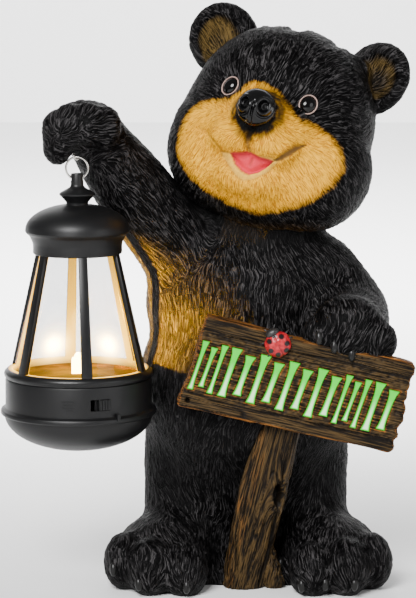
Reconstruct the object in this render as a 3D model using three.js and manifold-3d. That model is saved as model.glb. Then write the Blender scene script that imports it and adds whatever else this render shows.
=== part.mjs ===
// Garden statue of a bear cub. It holds up a hanging lantern in one paw and rests the other on a board
// on a post. The cub, the board, the post and the ladybird on the board are one casting.
// Millimetres, +Z up. The cub faces -Y, so +X is on the right for someone who looks at its face.
import * as THREE from "three";
import { mergeVertices } from "three/addons/utils/BufferGeometryUtils.js";
import Module from "manifold-3d";

const wasm = await Module();
wasm.setup();

// The cub. Its pose and proportions are kept for a cub of this standard height and scale with it.
const STATUE_HEIGHT = 340;
const STANDARD_HEIGHT = 340;
const CUB = STATUE_HEIGHT / STANDARD_HEIGHT;
const BODY_FACET = 14.5 * CUB;
const HEAD_FACET = 11 * CUB;
const MOUTH_DEPTH = 7;
const SMILE_WIDTH = 3;

// The board and its post
const BOARD_LENGTH = 128.5;
const BOARD_HEIGHT = 55.5;
const BOARD_THICKNESS = 12;
const BOARD_LEAN = THREE.MathUtils.degToRad(13.6);
const BOARD_EDGE = 1;
const CRACK_DEPTH = 1.2;
const POST_WIDTH = 28;
const POST_DEPTH = 16;
const POST_SET_BACK = 8;
const STROKE_DEPTH = 0.8;
const LADYBIRD_RADIUS = 7.6;

// The lantern
const WALL = 2;
const CLEARANCE = 0.3;
const KNOB_RADIUS = 3.7;
const KNOB_HEIGHT = 7.3;
const DISC_RADIUS = 10.3;
const NECK_RADIUS = 6.4;
const DOME_RADIUS = 30;
const DOME_HEIGHT = 14.2;
const COLLAR_RADIUS = 25.7;
const COLLAR_HEIGHT = 11;
const CAGE_HEIGHT = 68.6;
const RIB_COUNT = 6;
const RIB_THICKNESS = 3.2;
const RIB_TOP_WIDTH = 4.8;
const RIB_FOOT_WIDTH = 6.3;
const RIB_TURN = THREE.MathUtils.degToRad(10);
const GLASS_THICKNESS = 1.5;
const HOUSING_RADIUS = 42.4;
const HOUSING_HEIGHT = 18;
const FLANGE_RADIUS = 45.2;
const FLANGE_HEIGHT = 3.5;
const BOWL_DEPTH = 21;
const LED_WIDTH = 7.6;
const LED_HEIGHT = 9.5;

// The slide switch in the lantern's housing
const SWITCH_TURN = THREE.MathUtils.degToRad(20);
const SWITCH_WIDTH = 6.6;
const SWITCH_HEIGHT = 6;
const SWITCH_TRAVEL = 4.4;
const SWITCH_PROUD = 0.8;

// The wire that the lantern hangs by
const EYE_WIRE = 1.2;
const EYE_WIDTH = 4.8;
const EYE_DROP = 7;
const EYE_SOCKET = 7;
const RING_WIRE = 1.2;
const RING_RADIUS = 6.4;

// How far the lantern hangs clear of the belly
const LANTERN_GAP = 3.3;

const SHORTEST_EDGE = 0.01;

const V = (x, y, z) => new THREE.Vector3(x, y, z);
const degrees = THREE.MathUtils.degToRad;

// Solids and booleans

function solidOf(geometry) {
  const bare = geometry.index ? geometry.toNonIndexed() : geometry.clone();
  bare.deleteAttribute("normal");
  bare.deleteAttribute("uv");
  const merged = mergeVertices(bare, 1e-4);
  return new wasm.Manifold(
    new wasm.Mesh({
      numProp: 3,
      vertProperties: merged.attributes.position.array,
      triVerts: new Uint32Array(merged.index.array),
    }),
  );
}

function geometryOf(solid) {
  const mesh = solid.getMesh();
  const geometry = new THREE.BufferGeometry();
  const positions = new Float32Array(mesh.numVert * 3);
  for (let i = 0; i < mesh.numVert; i++) {
    for (let k = 0; k < 3; k++) positions[3 * i + k] = mesh.vertProperties[mesh.numProp * i + k];
  }
  geometry.setAttribute("position", new THREE.BufferAttribute(positions, 3));
  geometry.setIndex(new THREE.BufferAttribute(new Uint32Array(mesh.triVerts), 1));
  return withoutSlivers(geometry);
}

// Cuts leave some vertices closer than can be made: these become one, and the empty triangles go.
function withoutSlivers(geometry) {
  const merged = mergeVertices(geometry, SHORTEST_EDGE);
  const index = merged.index.array;
  const kept = [];
  for (let i = 0; i < index.length; i += 3) {
    const [a, b, c] = [index[i], index[i + 1], index[i + 2]];
    if (a !== b && b !== c && c !== a) kept.push(a, b, c);
  }
  merged.setIndex(kept);
  merged.computeVertexNormals();
  return merged;
}

const unite = (...solids) => solids.reduce((whole, solid) => whole.add(solid));

// A solid of revolution about Z. The profile runs anticlockwise, as (radius, height).
function turned(profile, segments = 20) {
  const points = profile.map(([radius, height]) => new THREE.Vector2(radius, height));
  return solidOf(new THREE.LatheGeometry(points, segments).rotateX(Math.PI / 2));
}

function block(width, depth, height, x, y, z) {
  return solidOf(new THREE.BoxGeometry(width, depth, height).translate(x, y, z));
}

function rod(radius, from, to, sides = 12) {
  const length = from.distanceTo(to);
  const geometry = new THREE.CylinderGeometry(radius, radius, length, sides);
  const along = V(0, 1, 0);
  geometry.applyQuaternion(
    new THREE.Quaternion().setFromUnitVectors(along, to.clone().sub(from).normalize()),
  );
  const middle = from.clone().add(to).multiplyScalar(0.5);
  return solidOf(geometry.translate(middle.x, middle.y, middle.z));
}

function egg(centre, radii, turn = new THREE.Quaternion(), around = 14, down = 9) {
  const geometry = new THREE.SphereGeometry(1, around, down).scale(radii.x, radii.y, radii.z);
  return solidOf(geometry.applyQuaternion(turn).translate(centre.x, centre.y, centre.z));
}

// Round masses of clay: each is an egg or a limb, pressed into those before it with a soft fillet.

function eggMass(centre, radii, fillet = 12, turn = new THREE.Quaternion()) {
  const back = turn.clone().invert();
  return {
    fillet: fillet * CUB,
    bounds: new THREE.Box3().setFromCenterAndSize(
      centre,
      V(2, 2, 2).multiplyScalar(Math.max(radii.x, radii.y, radii.z)),
    ),
    distance: (point) => {
      const p = point.clone().sub(centre).applyQuaternion(back);
      const near = p.clone().divide(radii);
      const far = near.clone().divide(radii);
      const share = near.length();
      return far.length() < 1e-9 ? -radii.x : (share * (share - 1)) / far.length();
    },
  };
}

function limbMass(from, to, startRadius, endRadius, fillet = 12) {
  const axis = to.clone().sub(from);
  const reach = Math.max(startRadius, endRadius);
  return {
    fillet: fillet * CUB,
    bounds: new THREE.Box3().setFromPoints([from, to]).expandByScalar(reach),
    distance: (point) => {
      const offset = point.clone().sub(from);
      const share = THREE.MathUtils.clamp(offset.dot(axis) / axis.lengthSq(), 0, 1);
      const radius = THREE.MathUtils.lerp(startRadius, endRadius, share);
      return offset.addScaledVector(axis, -share).length() - radius;
    },
  };
}

function fieldOf(masses) {
  return (point) =>
    masses.reduce((distance, mass) => {
      const next = mass.distance(point);
      const overlap = Math.max(mass.fillet - Math.abs(distance - next), 0) / mass.fillet;
      return Math.min(distance, next) - (overlap * overlap * mass.fillet) / 4;
    }, 1e3);
}

const CORNERS = [0, 1, 2, 3, 4, 5, 6, 7].map((c) => [c & 1, (c >> 1) & 1, c >> 2]);

// Whether the corners in the mask hang together along the edges of a cell
function joined(mask) {
  let seen = mask & -mask;
  for (let pass = 0; pass < 4; pass++)
    for (let c = 0; c < 8; c++)
      if ((seen >> c) & 1) seen |= mask & ((1 << (c ^ 1)) | (1 << (c ^ 2)) | (1 << (c ^ 4)));
  return seen === mask;
}

// A cell that the skin would cross twice is filled, so that the skin never touches itself.
function fillPinches(value, count, index, cell) {
  let filled = true;
  while (filled) {
    filled = false;
    for (let k = 0; k + 1 < count[2]; k++)
      for (let j = 0; j + 1 < count[1]; j++)
        for (let i = 0; i + 1 < count[0]; i++) {
          const corners = CORNERS.map(([di, dj, dk]) => index(i + di, j + dj, k + dk));
          const inside = corners.reduce((mask, at, c) => mask | (value[at] < 0 ? 1 << c : 0), 0);
          if (joined(inside) && joined(255 & ~inside)) continue;
          for (const at of corners) value[at] = Math.min(value[at], -0.02 * cell);
          filled = true;
        }
  }
}

// The closed skin of the masses, on a grid of cells: one point in each cell that the surface crosses.
function skinOf(masses, cell) {
  const field = fieldOf(masses);
  const bounds = masses.reduce((all, mass) => all.union(mass.bounds), new THREE.Box3());
  bounds.expandByScalar(2 * cell);
  const size = bounds.getSize(V(0, 0, 0));
  const count = [size.x, size.y, size.z].map((length) => Math.ceil(length / cell) + 1);
  const index = (i, j, k) => (k * count[1] + j) * count[0] + i;
  const corner = (i, j, k) => V(i, j, k).multiplyScalar(cell).add(bounds.min);
  const value = new Float64Array(count[0] * count[1] * count[2]);
  for (let k = 0; k < count[2]; k++)
    for (let j = 0; j < count[1]; j++)
      for (let i = 0; i < count[0]; i++) value[index(i, j, k)] = field(corner(i, j, k));

  fillPinches(value, count, index, cell);

  const steps = [V(1, 0, 0), V(0, 1, 0), V(0, 0, 1)];
  const slope = (point) => {
    const step = 0.05 * cell;
    return V(
      ...steps.map((s) => {
        const ahead = field(point.clone().addScaledVector(s, step));
        return (ahead - field(point.clone().addScaledVector(s, -step))) / (2 * step);
      }),
    );
  };
  const points = [];
  const pointOfCell = new Map();
  const pointIn = (i, j, k) => {
    const key = index(i, j, k);
    if (pointOfCell.has(key)) return pointOfCell.get(key);
    const sum = V(0, 0, 0);
    let crossings = 0;
    for (let edge = 0; edge < 12; edge++) {
      const axis = edge >> 2;
      const start = [i, j, k];
      start[(axis + 1) % 3] += edge & 1;
      start[(axis + 2) % 3] += (edge >> 1) & 1;
      const end = [...start];
      end[axis] += 1;
      const a = value[index(...start)];
      const b = value[index(...end)];
      if (a < 0 === b < 0) continue;
      sum.add(corner(...start).lerp(corner(...end), a / (a - b)));
      crossings += 1;
    }
    const point = sum.divideScalar(crossings);
    for (let pass = 0; pass < 2; pass++) {
      const gradient = slope(point);
      const shift = (-0.9 * field(point)) / Math.max(gradient.lengthSq(), 0.2);
      point.addScaledVector(gradient, THREE.MathUtils.clamp(shift, -0.4 * cell, 0.4 * cell));
    }
    pointOfCell.set(key, points.length);
    points.push(point);
    return points.length - 1;
  };

  const triangles = [];
  for (let k = 1; k < count[2] - 1; k++)
    for (let j = 1; j < count[1] - 1; j++)
      for (let i = 1; i < count[0] - 1; i++)
        for (let axis = 0; axis < 3; axis++) {
          const end = [i, j, k];
          end[axis] += 1;
          const inside = value[index(i, j, k)] < 0;
          if (inside === value[index(...end)] < 0) continue;
          const around = [[0, 0], [1, 0], [1, 1], [0, 1]].map(([p, q]) => {
            const cellAt = [i, j, k];
            cellAt[(axis + 1) % 3] -= p;
            cellAt[(axis + 2) % 3] -= q;
            return pointIn(...cellAt);
          });
          const [a, b, c, d] = inside ? around : around.reverse();
          const firstCut = points[a].distanceTo(points[c]);
          if (firstCut < points[b].distanceTo(points[d])) triangles.push(a, b, c, a, c, d);
          else triangles.push(a, b, d, b, c, d);
        }
  const geometry = new THREE.BufferGeometry().setFromPoints(points);
  geometry.setIndex(triangles);
  return solidOf(geometry);
}

// Pose of the cub, in millimetres at the standard height

const at = (x, y, z) => V(x, y, z).multiplyScalar(CUB);
const turnOf = (x, y, z, order = "XYZ") =>
  new THREE.Quaternion().setFromEuler(new THREE.Euler(degrees(x), degrees(y), degrees(z), order));

const BELLY = at(0, 0, 112);
const BELLY_RADII = at(65, 61, 64);
const HANG_DIRECTION = V(-0.873, -0.487, 0).normalize();
const HANG_REACH = BELLY_RADII.x + LANTERN_GAP + FLANGE_RADIUS;
const HANG = V(0, 0, 259.5 * CUB).addScaledVector(HANG_DIRECTION, HANG_REACH);

const SHOULDER = at(-39, -4, 192);
const FIST = HANG.clone().add(at(5, 5, 13));
const WRIST = SHOULDER.clone().lerp(FIST, 0.66).add(at(2, 8, -5));
const ELBOW = at(61, -19, 158);
const PAW = at(60, -54, 151);

function bodyMasses() {
  return [
    eggMass(BELLY, BELLY_RADII, 1),
    eggMass(at(-3, 2, 162), at(57, 50, 47), 24),
    eggMass(at(-1, 12, 72), at(59, 52, 48), 20),
    limbMass(at(4, 4, 190), at(12, 2, 226), 36 * CUB, 32 * CUB, 14),
    eggMass(at(37, -2, 178), at(29, 29, 27), 16),
    ...legMasses(-1),
    ...legMasses(1),
    limbMass(at(43, -4, 178), ELBOW, 24 * CUB, 22 * CUB, 10),
    limbMass(ELBOW, PAW, 22 * CUB, 20 * CUB, 8),
    limbMass(SHOULDER, WRIST, 24 * CUB, 21 * CUB, 12),
    limbMass(WRIST, FIST, 21 * CUB, 15 * CUB, 8),
    eggMass(FIST, at(20, 17, 14), 6),
    // Stub of a tail
    eggMass(at(0, 62, 66), at(13, 14, 12), 8),
    // Backing between the belly and the board
    eggMass(at(8, -40, 122), at(46, 24, 24), 8, turnOf(0, 12, 0)),
    // The ground that joins the feet and the post
    eggMass(at(2, -6, 0), at(50, 46, 15), 8),
  ];
}

const footOf = (side) => (side < 0 ? at(-50, -30, 14) : at(49, -30, 14));
const splayOf = (side) => turnOf(0, 0, side * 9);

function legMasses(side) {
  return [
    limbMass(at(side * 28 - 1, 6, 74), at(side * 30 - 1, 5, 24), 33 * CUB, 30 * CUB, 14),
    eggMass(footOf(side), at(29, 42, 24), 12, splayOf(side)),
  ];
}

// Toes and curled fingers: centre and radii of each, against its foot or paw
const TOES = [
  [[-18, -31, -1], [13, 17.5, 16.5]],
  [[2, -35, 1], [13.5, 16.5, 17.5]],
  [[19, -25, 2], [12.5, 17, 17]],
];
const BOARD_FINGERS = [
  [[-18, -8, 1], [12, 11.5, 12]],
  [[-4, -10.5, -0.5], [12.5, 12, 13]],
  [[13, -8, -3], [12.5, 12, 13]],
];
const FIST_FINGERS = [
  [[-16, -9, -13], [8.5, 9.5, 10]],
  [[-16, -8, -3], [9, 11, 12]],
  [[-9, -14, 0], [9.5, 10, 13]],
  [[2, -16, 1.5], [9.5, 10, 12.5]],
  [[12, -12, -0.5], [9, 10, 12]],
];

function digits() {
  const made = (place, turn, mirror) =>
    ([[x, y, z], radii]) =>
      egg(place.clone().add(at(mirror * x, y, z).applyQuaternion(turn)), at(...radii), turn, 9, 6);
  const plain = new THREE.Quaternion();
  return [
    ...TOES.map(made(footOf(-1), splayOf(-1), -1)),
    ...TOES.map(made(footOf(1), splayOf(1), 1)),
    ...BOARD_FINGERS.map(made(PAW, plain, 1)),
    ...FIST_FINGERS.map(made(FIST, plain, 1)),
  ];
}

// The head has a frame of its own: +X is to the right of its face, +Z up and -Y forward.
const HEAD = at(16.6, -8, 264.3);
const HEAD_TURN = turnOf(-8, 13, -14.8, "YZX");
const onHead = (x, y, z) => at(x, y, z).applyQuaternion(HEAD_TURN).add(HEAD);

function headMasses() {
  const part = (centre, radii, fillet, turn = new THREE.Quaternion()) =>
    eggMass(onHead(...centre), at(...radii), fillet, HEAD_TURN.clone().multiply(turn));
  return [
    part([-0.5, 5, 8], [56, 53, 57], 1),
    part([-22.5, -6, -17], [37, 42, 37], 16),
    part([25, -6, -16], [37, 42, 37], 16),
    part([1, -8, -26], [43, 42, 32], 16),
    // Snout, upper lips and lower jaw
    part([0, -34, -5], [34, 30, 23], 14),
    part([0, -54, 3], [17, 20, 15], 10),
    part([-11, -50, -12], [16, 17, 11], 7),
    part([11, -50, -12], [16, 17, 11], 7),
    part([0, -36, -32], [24, 22, 13], 9),
  ];
}

const EARS = [-1, 1].map((side) => ({
  place: side < 0 ? [-49, 17.5, 48.2] : [46.5, 17.5, 48],
  cup: turnOf(-8, side * 16, side * -18, "ZYX"),
}));
const EAR_RADII = [21.3, 10.5, 23];
const EAR_HOLLOW_RADII = [15, 7.5, 16.5];
const EAR_HOLLOW_SHIFT = 10;
const EYE_PLACES = [[-23, 16.2], [21.8, 16.4]];
const EYE_RADII = [6.6, 5, 6.8];
const NOSE_RADII = [11.3, 9, 10.3];
const TONGUE_RADII = [11.5, 8, 6.5];

// A point on the face, straight in front of a point of the head's middle plane, or sunk in from it
const headField = fieldOf(headMasses());
function onFace(x, z, sink = 0) {
  let depth = -110;
  for (let pass = 0; pass < 40; pass++) depth += 0.8 * (headField(onHead(x, depth, z)) / CUB);
  return onHead(x, depth + sink, z);
}

// Outline of the open mouth, as (x, z) on the head
function mouthShape() {
  const shape = new THREE.Shape();
  shape.moveTo(-12, -20.4);
  shape.quadraticCurveTo(-4, -19, 2, -20.6);
  shape.quadraticCurveTo(8, -18.6, 15.4, -18.8);
  shape.quadraticCurveTo(13, -30.6, 2, -32.4);
  shape.quadraticCurveTo(-9, -30.6, -12, -20.4);
  return shape;
}

// The smile's line, from the corner of the mouth out to the cheek
function smileLine(side) {
  const points = [[13, -20.5], [20, -17.5], [27, -12.5], [33, -7]];
  const path = new THREE.CatmullRomCurve3(points.map(([x, z]) => onFace(side * x, z, 0.4)));
  return wireAlong(path, SMILE_WIDTH * CUB, 6, 4);
}

// The open mouth, the tongue in it, the nose, the eyes and the hollows of the ears
function carvedHead() {
  const piece = (centre, radii, turn, around, down) =>
    egg(centre, at(...radii), HEAD_TURN.clone().multiply(turn), around, down);
  let head = skinOf(headMasses(), HEAD_FACET);
  for (const { place, cup } of EARS) {
    const [x, y, z] = place;
    head = head.add(piece(onHead(x, y, z), EAR_RADII, cup, 12, 7));
    head = head.subtract(piece(onHead(x, y - EAR_HOLLOW_SHIFT, z), EAR_HOLLOW_RADII, cup, 11, 6));
  }
  for (const side of [-1, 1]) head = head.subtract(smileLine(side));
  for (const [x, z] of EYE_PLACES) {
    const aim = turnOf(0, 0, 20 * Math.sign(x));
    head = head.add(piece(onFace(x, z, 2), EYE_RADII, aim, 10, 6));
  }
  const recess = new THREE.ExtrudeGeometry(mouthShape(), {
    depth: 40,
    bevelEnabled: false,
    curveSegments: 3,
  });
  recess.rotateX(Math.PI / 2).scale(CUB, CUB, CUB);
  const floor = onFace(0, -27, MOUTH_DEPTH);
  const foot = onHead(0, 0, -27).sub(HEAD);
  recess.applyQuaternion(HEAD_TURN).translate(floor.x - foot.x, floor.y - foot.y, floor.z - foot.z);
  head = head.subtract(solidOf(recess));
  const straight = new THREE.Quaternion();
  head = head.add(piece(onFace(1.5, -26, MOUTH_DEPTH + 2), TONGUE_RADII, straight, 10, 6));
  return head.add(piece(onFace(-1, 6.5, 3), NOSE_RADII, straight, 12, 7));
}

// The board, its post and what is on them

const BOARD_FRONT = -73 * CUB;
const BOARD_CENTRE = V(27.2 * CUB, BOARD_FRONT + BOARD_THICKNESS / 2, 123.4 * CUB);
const BOARD_TURN = new THREE.Quaternion().setFromAxisAngle(V(0, 1, 0), BOARD_LEAN);
const onBoard = (along, out, up) =>
  V(along, -BOARD_THICKNESS / 2 - out, up).applyQuaternion(BOARD_TURN).add(BOARD_CENTRE);

// An outline in the board's plane, pushed back from its front face by a depth
function slab(shape, depth, out = 0, bevel = 0, curveSegments = 6) {
  const geometry = new THREE.ExtrudeGeometry(shape, {
    depth: depth - 2 * bevel,
    bevelEnabled: bevel > 0,
    bevelThickness: bevel,
    bevelSize: bevel,
    bevelOffset: -bevel,
    bevelSegments: 1,
    curveSegments,
  });
  geometry.translate(0, 0, bevel - depth).rotateX(Math.PI / 2);
  geometry.applyQuaternion(BOARD_TURN);
  const origin = onBoard(0, out, 0);
  return solidOf(geometry.translate(origin.x, origin.y, origin.z));
}

// Outline of the board, as shares of its length and height, from its upper left corner anticlockwise
const BOARD_OUTLINE = [
  [-0.468, 0.501], [-0.476, 0.175], [-0.478, -0.079], [-0.506, -0.432], [-0.498, -0.49],
  [-0.113, -0.472], [0.472, -0.461], [0.492, -0.404], [0.478, -0.297], [0.496, -0.243],
  [0.479, -0.162], [0.5, -0.045], [0.481, 0.081], [0.496, 0.207], [0.482, 0.324], [0.5, 0.441],
  [0.476, 0.515], [0.167, 0.494],
];
function boardShape() {
  const corners = BOARD_OUTLINE.map(
    ([along, up]) => new THREE.Vector2(along * BOARD_LENGTH, up * BOARD_HEIGHT),
  );
  return new THREE.Shape(corners);
}

// One slanting stroke, broad at the head and narrow at the foot
function strokeShape(x, lean, length, width) {
  const shape = new THREE.Shape();
  const tip = ROW_LEVEL + length / 2;
  const foot = ROW_LEVEL - length / 2;
  const broad = 0.5 * width;
  const narrow = 0.3 * width;
  const waist = 0.2 * width;
  shape.moveTo(x - lean - narrow, foot);
  shape.lineTo(x - lean + narrow, foot);
  shape.quadraticCurveTo(x + waist, ROW_LEVEL, x + lean + broad, tip);
  shape.lineTo(x + lean - broad, tip);
  shape.quadraticCurveTo(x - waist, ROW_LEVEL, x - lean - narrow, foot);
  return shape;
}

// The strokes stand in a row of groups along the board.
const GROUP_STROKES = [3, 2, 2, 2, 2, 3, 2];
const ROW_LENGTH = 0.925 * BOARD_LENGTH;
const ROW_CENTRE = -0.0125 * BOARD_LENGTH;
const ROW_LEVEL = -0.022 * BOARD_HEIGHT;
const STROKE_LENGTHS = [0.53 * BOARD_HEIGHT, 0.435 * BOARD_HEIGHT];
function strokes() {
  const pitch = ROW_LENGTH / GROUP_STROKES.length;
  const start = ROW_CENTRE - ROW_LENGTH / 2;
  return GROUP_STROKES.flatMap((count, group) =>
    Array.from({ length: count }, (_, k) => {
      const x = start + (group + (k + 0.5) / count) * pitch;
      return strokeShape(x, 0.08 * pitch, STROKE_LENGTHS[k % 2], (0.76 * pitch) / count);
    }),
  );
}

// Long cracks along the grain: height, start and end of each, as shares of the board
const CRACKS = [[0.37, -0.42, 0.44], [-0.36, -0.44, 0.46], [0.42, 0.05, 0.45]];

function board() {
  let made = slab(boardShape(), BOARD_THICKNESS, 0, BOARD_EDGE);
  for (const shape of strokes()) {
    made = made.subtract(slab(shape, 2 * STROKE_DEPTH, STROKE_DEPTH, 0, 2));
  }
  for (const [height, from, to] of CRACKS) {
    const crack = new THREE.Shape();
    const middle = 0.5 * (from + to) * BOARD_LENGTH;
    crack.moveTo(from * BOARD_LENGTH, height * BOARD_HEIGHT);
    crack.lineTo(middle, height * BOARD_HEIGHT - 0.8);
    crack.lineTo(to * BOARD_LENGTH, height * BOARD_HEIGHT - 0.2);
    crack.lineTo(middle, height * BOARD_HEIGHT + 0.5);
    made = made.subtract(slab(crack, 2 * CRACK_DEPTH, CRACK_DEPTH));
  }
  return made;
}

const POST_FRONT = BOARD_FRONT + 6;
function post() {
  const top = V(BOARD_CENTRE.x - 1.5 * CUB, POST_FRONT + POST_DEPTH / 2, BOARD_CENTRE.z);
  const down = V(0, 0, -1).applyQuaternion(BOARD_TURN);
  const length = (top.z + 20) / -down.z;
  const half = POST_WIDTH / 2;
  const deep = POST_DEPTH / 2;
  const section = new THREE.Shape();
  section.moveTo(-half, deep);
  section.lineTo(-half, -deep * 0.3);
  section.lineTo(-half * 0.55, -deep * 0.9);
  section.lineTo(-half * 0.1, -deep * 0.75);
  section.lineTo(half * 0.05, -deep * 0.95);
  section.lineTo(half * 0.6, -deep);
  section.lineTo(half, -deep * 0.25);
  section.lineTo(half, deep);
  const geometry = new THREE.ExtrudeGeometry(section, { depth: length, bevelEnabled: false, steps: 4 });
  const positions = geometry.attributes.position;
  for (let i = 0; i < positions.count; i++) {
    const share = positions.getZ(i) / length;
    const swell = 1 - (share - 0.5) ** 2;
    positions.setX(i, positions.getX(i) * swell + 0.8 * Math.sin(7 * share));
    positions.setY(i, positions.getY(i) + POST_SET_BACK * (1 - share));
  }
  geometry.translate(0, 0, -length).applyQuaternion(BOARD_TURN);
  return solidOf(geometry.translate(top.x, top.y, top.z));
}

// The ladybird sits on the upper edge of the board.
const LADYBIRD_ALONG = -0.13 * BOARD_LENGTH;
const LADYBIRD_UP = 0.387 * BOARD_HEIGHT;
function ladybird() {
  const place = (along, out, up) =>
    onBoard(
      LADYBIRD_ALONG + along * LADYBIRD_RADIUS,
      out * LADYBIRD_RADIUS,
      LADYBIRD_UP + up * LADYBIRD_RADIUS,
    );
  const size = (x, y, z) => V(x, y, z).multiplyScalar(LADYBIRD_RADIUS);
  return unite(
    egg(place(0, 0, 0), size(1, 0.7, 1), BOARD_TURN, 10, 6),
    egg(place(-0.64, 0.08, 0.76), size(0.42, 0.4, 0.4), BOARD_TURN, 6, 4),
  );
}

// The wire eye in the paw, and the lantern's ring through it

const EYE_TURN = degrees(50);
const EYE_BEND_HEIGHT = HANG.z - EYE_DROP + EYE_WIDTH / 2;
const RING_TOP = HANG.z - EYE_DROP + EYE_WIRE / 2 + RING_WIRE / 2 + CLEARANCE;
const RING_CENTRE = V(HANG.x, HANG.y, RING_TOP - RING_RADIUS);

function wireAlong(curve, wire, steps, sides = 8) {
  const section = new THREE.Shape();
  for (let i = 0; i < sides; i++) {
    const angle = (2 * Math.PI * i) / sides;
    const x = (wire / 2) * Math.cos(angle);
    const y = (wire / 2) * Math.sin(angle);
    if (i) section.lineTo(x, y);
    else section.moveTo(x, y);
  }
  return solidOf(new THREE.ExtrudeGeometry(section, { steps, extrudePath: curve }));
}

function eyeLegs() {
  const side = V(Math.sin(EYE_TURN), Math.cos(EYE_TURN), 0);
  return [-1, 1].map((sign) => HANG.clone().addScaledVector(side, (sign * EYE_WIDTH) / 2));
}

function pawEye() {
  const [left, right] = eyeLegs();
  const buried = EYE_SOCKET - CLEARANCE;
  const bend = EYE_WIDTH / 2;
  const points = [left.clone().setZ(HANG.z + buried), left.clone().setZ(EYE_BEND_HEIGHT + 1)];
  for (let i = 0; i <= 6; i++) {
    const angle = (Math.PI * i) / 6;
    const point = left.clone().lerp(right, (1 - Math.cos(angle)) / 2);
    points.push(point.setZ(EYE_BEND_HEIGHT - bend * Math.sin(angle)));
  }
  points.push(right.clone().setZ(EYE_BEND_HEIGHT + 1), right.clone().setZ(HANG.z + buried));
  return wireAlong(new THREE.CatmullRomCurve3(points, false, "centripetal"), EYE_WIRE, 16, 6);
}

function eyeSockets() {
  return eyeLegs().map((leg) =>
    rod(EYE_WIRE / 2 + CLEARANCE, leg.clone().setZ(HANG.z - 10), leg.clone().setZ(HANG.z + EYE_SOCKET), 8),
  );
}

function hangingRing() {
  const torus = new THREE.TorusGeometry(RING_RADIUS, RING_WIRE / 2, 5, 22);
  return solidOf(torus.rotateX(Math.PI / 2).translate(RING_CENTRE.x, RING_CENTRE.y, RING_CENTRE.z));
}

// Heights of the lantern, from the ring down

const KNOB_BORE = 1.7;
// The ring rises by this much from the middle of the knob's hole to its mouths
const RING_RISE = RING_RADIUS - Math.sqrt(RING_RADIUS ** 2 - KNOB_RADIUS ** 2);
const RING_BOTTOM = RING_CENTRE.z - RING_RADIUS;
const KNOB_HOLE = RING_BOTTOM + RING_RISE + RING_WIRE / 2 + CLEARANCE - KNOB_BORE;
const KNOB_TOP = KNOB_HOLE + KNOB_BORE + 1.4;
const DISC_LEVEL = KNOB_TOP - KNOB_HEIGHT - 4.7;
const NECK_LEVEL = DISC_LEVEL - 6;
const RIM_LEVEL = NECK_LEVEL - DOME_HEIGHT;
const COLLAR_TOP = RIM_LEVEL - 3;
const COLLAR_FOOT = COLLAR_TOP - COLLAR_HEIGHT;
const DECK_LEVEL = COLLAR_FOOT - CAGE_HEIGHT - 3;
const FLANGE_TOP = DECK_LEVEL - HOUSING_HEIGHT;
const FLANGE_FOOT = FLANGE_TOP - FLANGE_HEIGHT;
const BOWL_TOP = FLANGE_FOOT - CLEARANCE;

// Inner faces of the ribs: the radius at a height between the deck and the collar
const RIB_FOOT_RADIUS = HOUSING_RADIUS - 1;
const RIB_SLOPE = (RIB_FOOT_RADIUS - (COLLAR_RADIUS - 0.4)) / CAGE_HEIGHT;
const ribOuter = (height) => RIB_FOOT_RADIUS - RIB_SLOPE * (height - COLLAR_FOOT + CAGE_HEIGHT);
const ribInner = (height) => ribOuter(height) - RIB_THICKNESS;

function arc(count, from, to, radius, rise, middle) {
  const points = [];
  for (let i = 0; i <= count; i++) {
    const angle = THREE.MathUtils.lerp(from, to, i / count);
    points.push([radius * Math.cos(angle), middle + rise * Math.sin(angle)]);
  }
  return points;
}

function lanternCap() {
  const dome = (radius, rise, floor, end) => arc(3, 0, end, radius, rise, floor);
  const end = 1.3;
  const rise = (NECK_LEVEL - RIM_LEVEL) / Math.sin(end);
  const inner = COLLAR_RADIUS - WALL;
  return turned([
    ...dome(DOME_RADIUS - WALL - 1, rise - WALL, RIM_LEVEL, Math.PI / 2).reverse(),
    [inner, RIM_LEVEL - 1],
    [inner, COLLAR_FOOT],
    [COLLAR_RADIUS, COLLAR_FOOT],
    [COLLAR_RADIUS, COLLAR_FOOT + COLLAR_HEIGHT * 0.45],
    [COLLAR_RADIUS + 2.5, COLLAR_TOP],
    [DOME_RADIUS - 0.8, COLLAR_TOP + 0.6],
    [DOME_RADIUS, RIM_LEVEL - 0.8],
    ...dome(DOME_RADIUS, rise, RIM_LEVEL, end).slice(1),
    [NECK_RADIUS, NECK_LEVEL],
    [NECK_RADIUS, NECK_LEVEL + 1],
    [DISC_RADIUS - 0.8, DISC_LEVEL - 0.8],
    [DISC_RADIUS, DISC_LEVEL],
    [DISC_RADIUS - 1, DISC_LEVEL + 1],
    [KNOB_RADIUS + 1, KNOB_TOP - KNOB_HEIGHT - 0.8],
    [KNOB_RADIUS, KNOB_TOP - KNOB_HEIGHT],
    [KNOB_RADIUS, KNOB_TOP - 0.8],
    [KNOB_RADIUS - 0.8, KNOB_TOP],
    [0, KNOB_TOP],
  ])
    .subtract(rod(KNOB_BORE, V(-9, 0, KNOB_HOLE), V(9, 0, KNOB_HOLE), 10));
}

const ROOF_RING_RADIUS = COLLAR_RADIUS - WALL - CLEARANCE;
function rib() {
  const foot = COLLAR_FOOT - CAGE_HEIGHT;
  const head = COLLAR_FOOT + 3;
  const slant = Math.hypot(head - foot, ribOuter(foot) - ribOuter(head));
  const shape = new THREE.Shape();
  shape.moveTo(-RIB_FOOT_WIDTH / 2, 0);
  shape.lineTo(RIB_FOOT_WIDTH / 2, 0);
  shape.lineTo(RIB_TOP_WIDTH / 2, slant);
  shape.lineTo(-RIB_TOP_WIDTH / 2, slant);
  const geometry = new THREE.ExtrudeGeometry(shape, { depth: RIB_THICKNESS, bevelEnabled: false });
  geometry.translate(0, 0, -RIB_THICKNESS).rotateX(Math.PI / 2);
  geometry.rotateX(-Math.atan(RIB_SLOPE));
  return solidOf(geometry.translate(0, -ribOuter(foot), foot));
}

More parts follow.
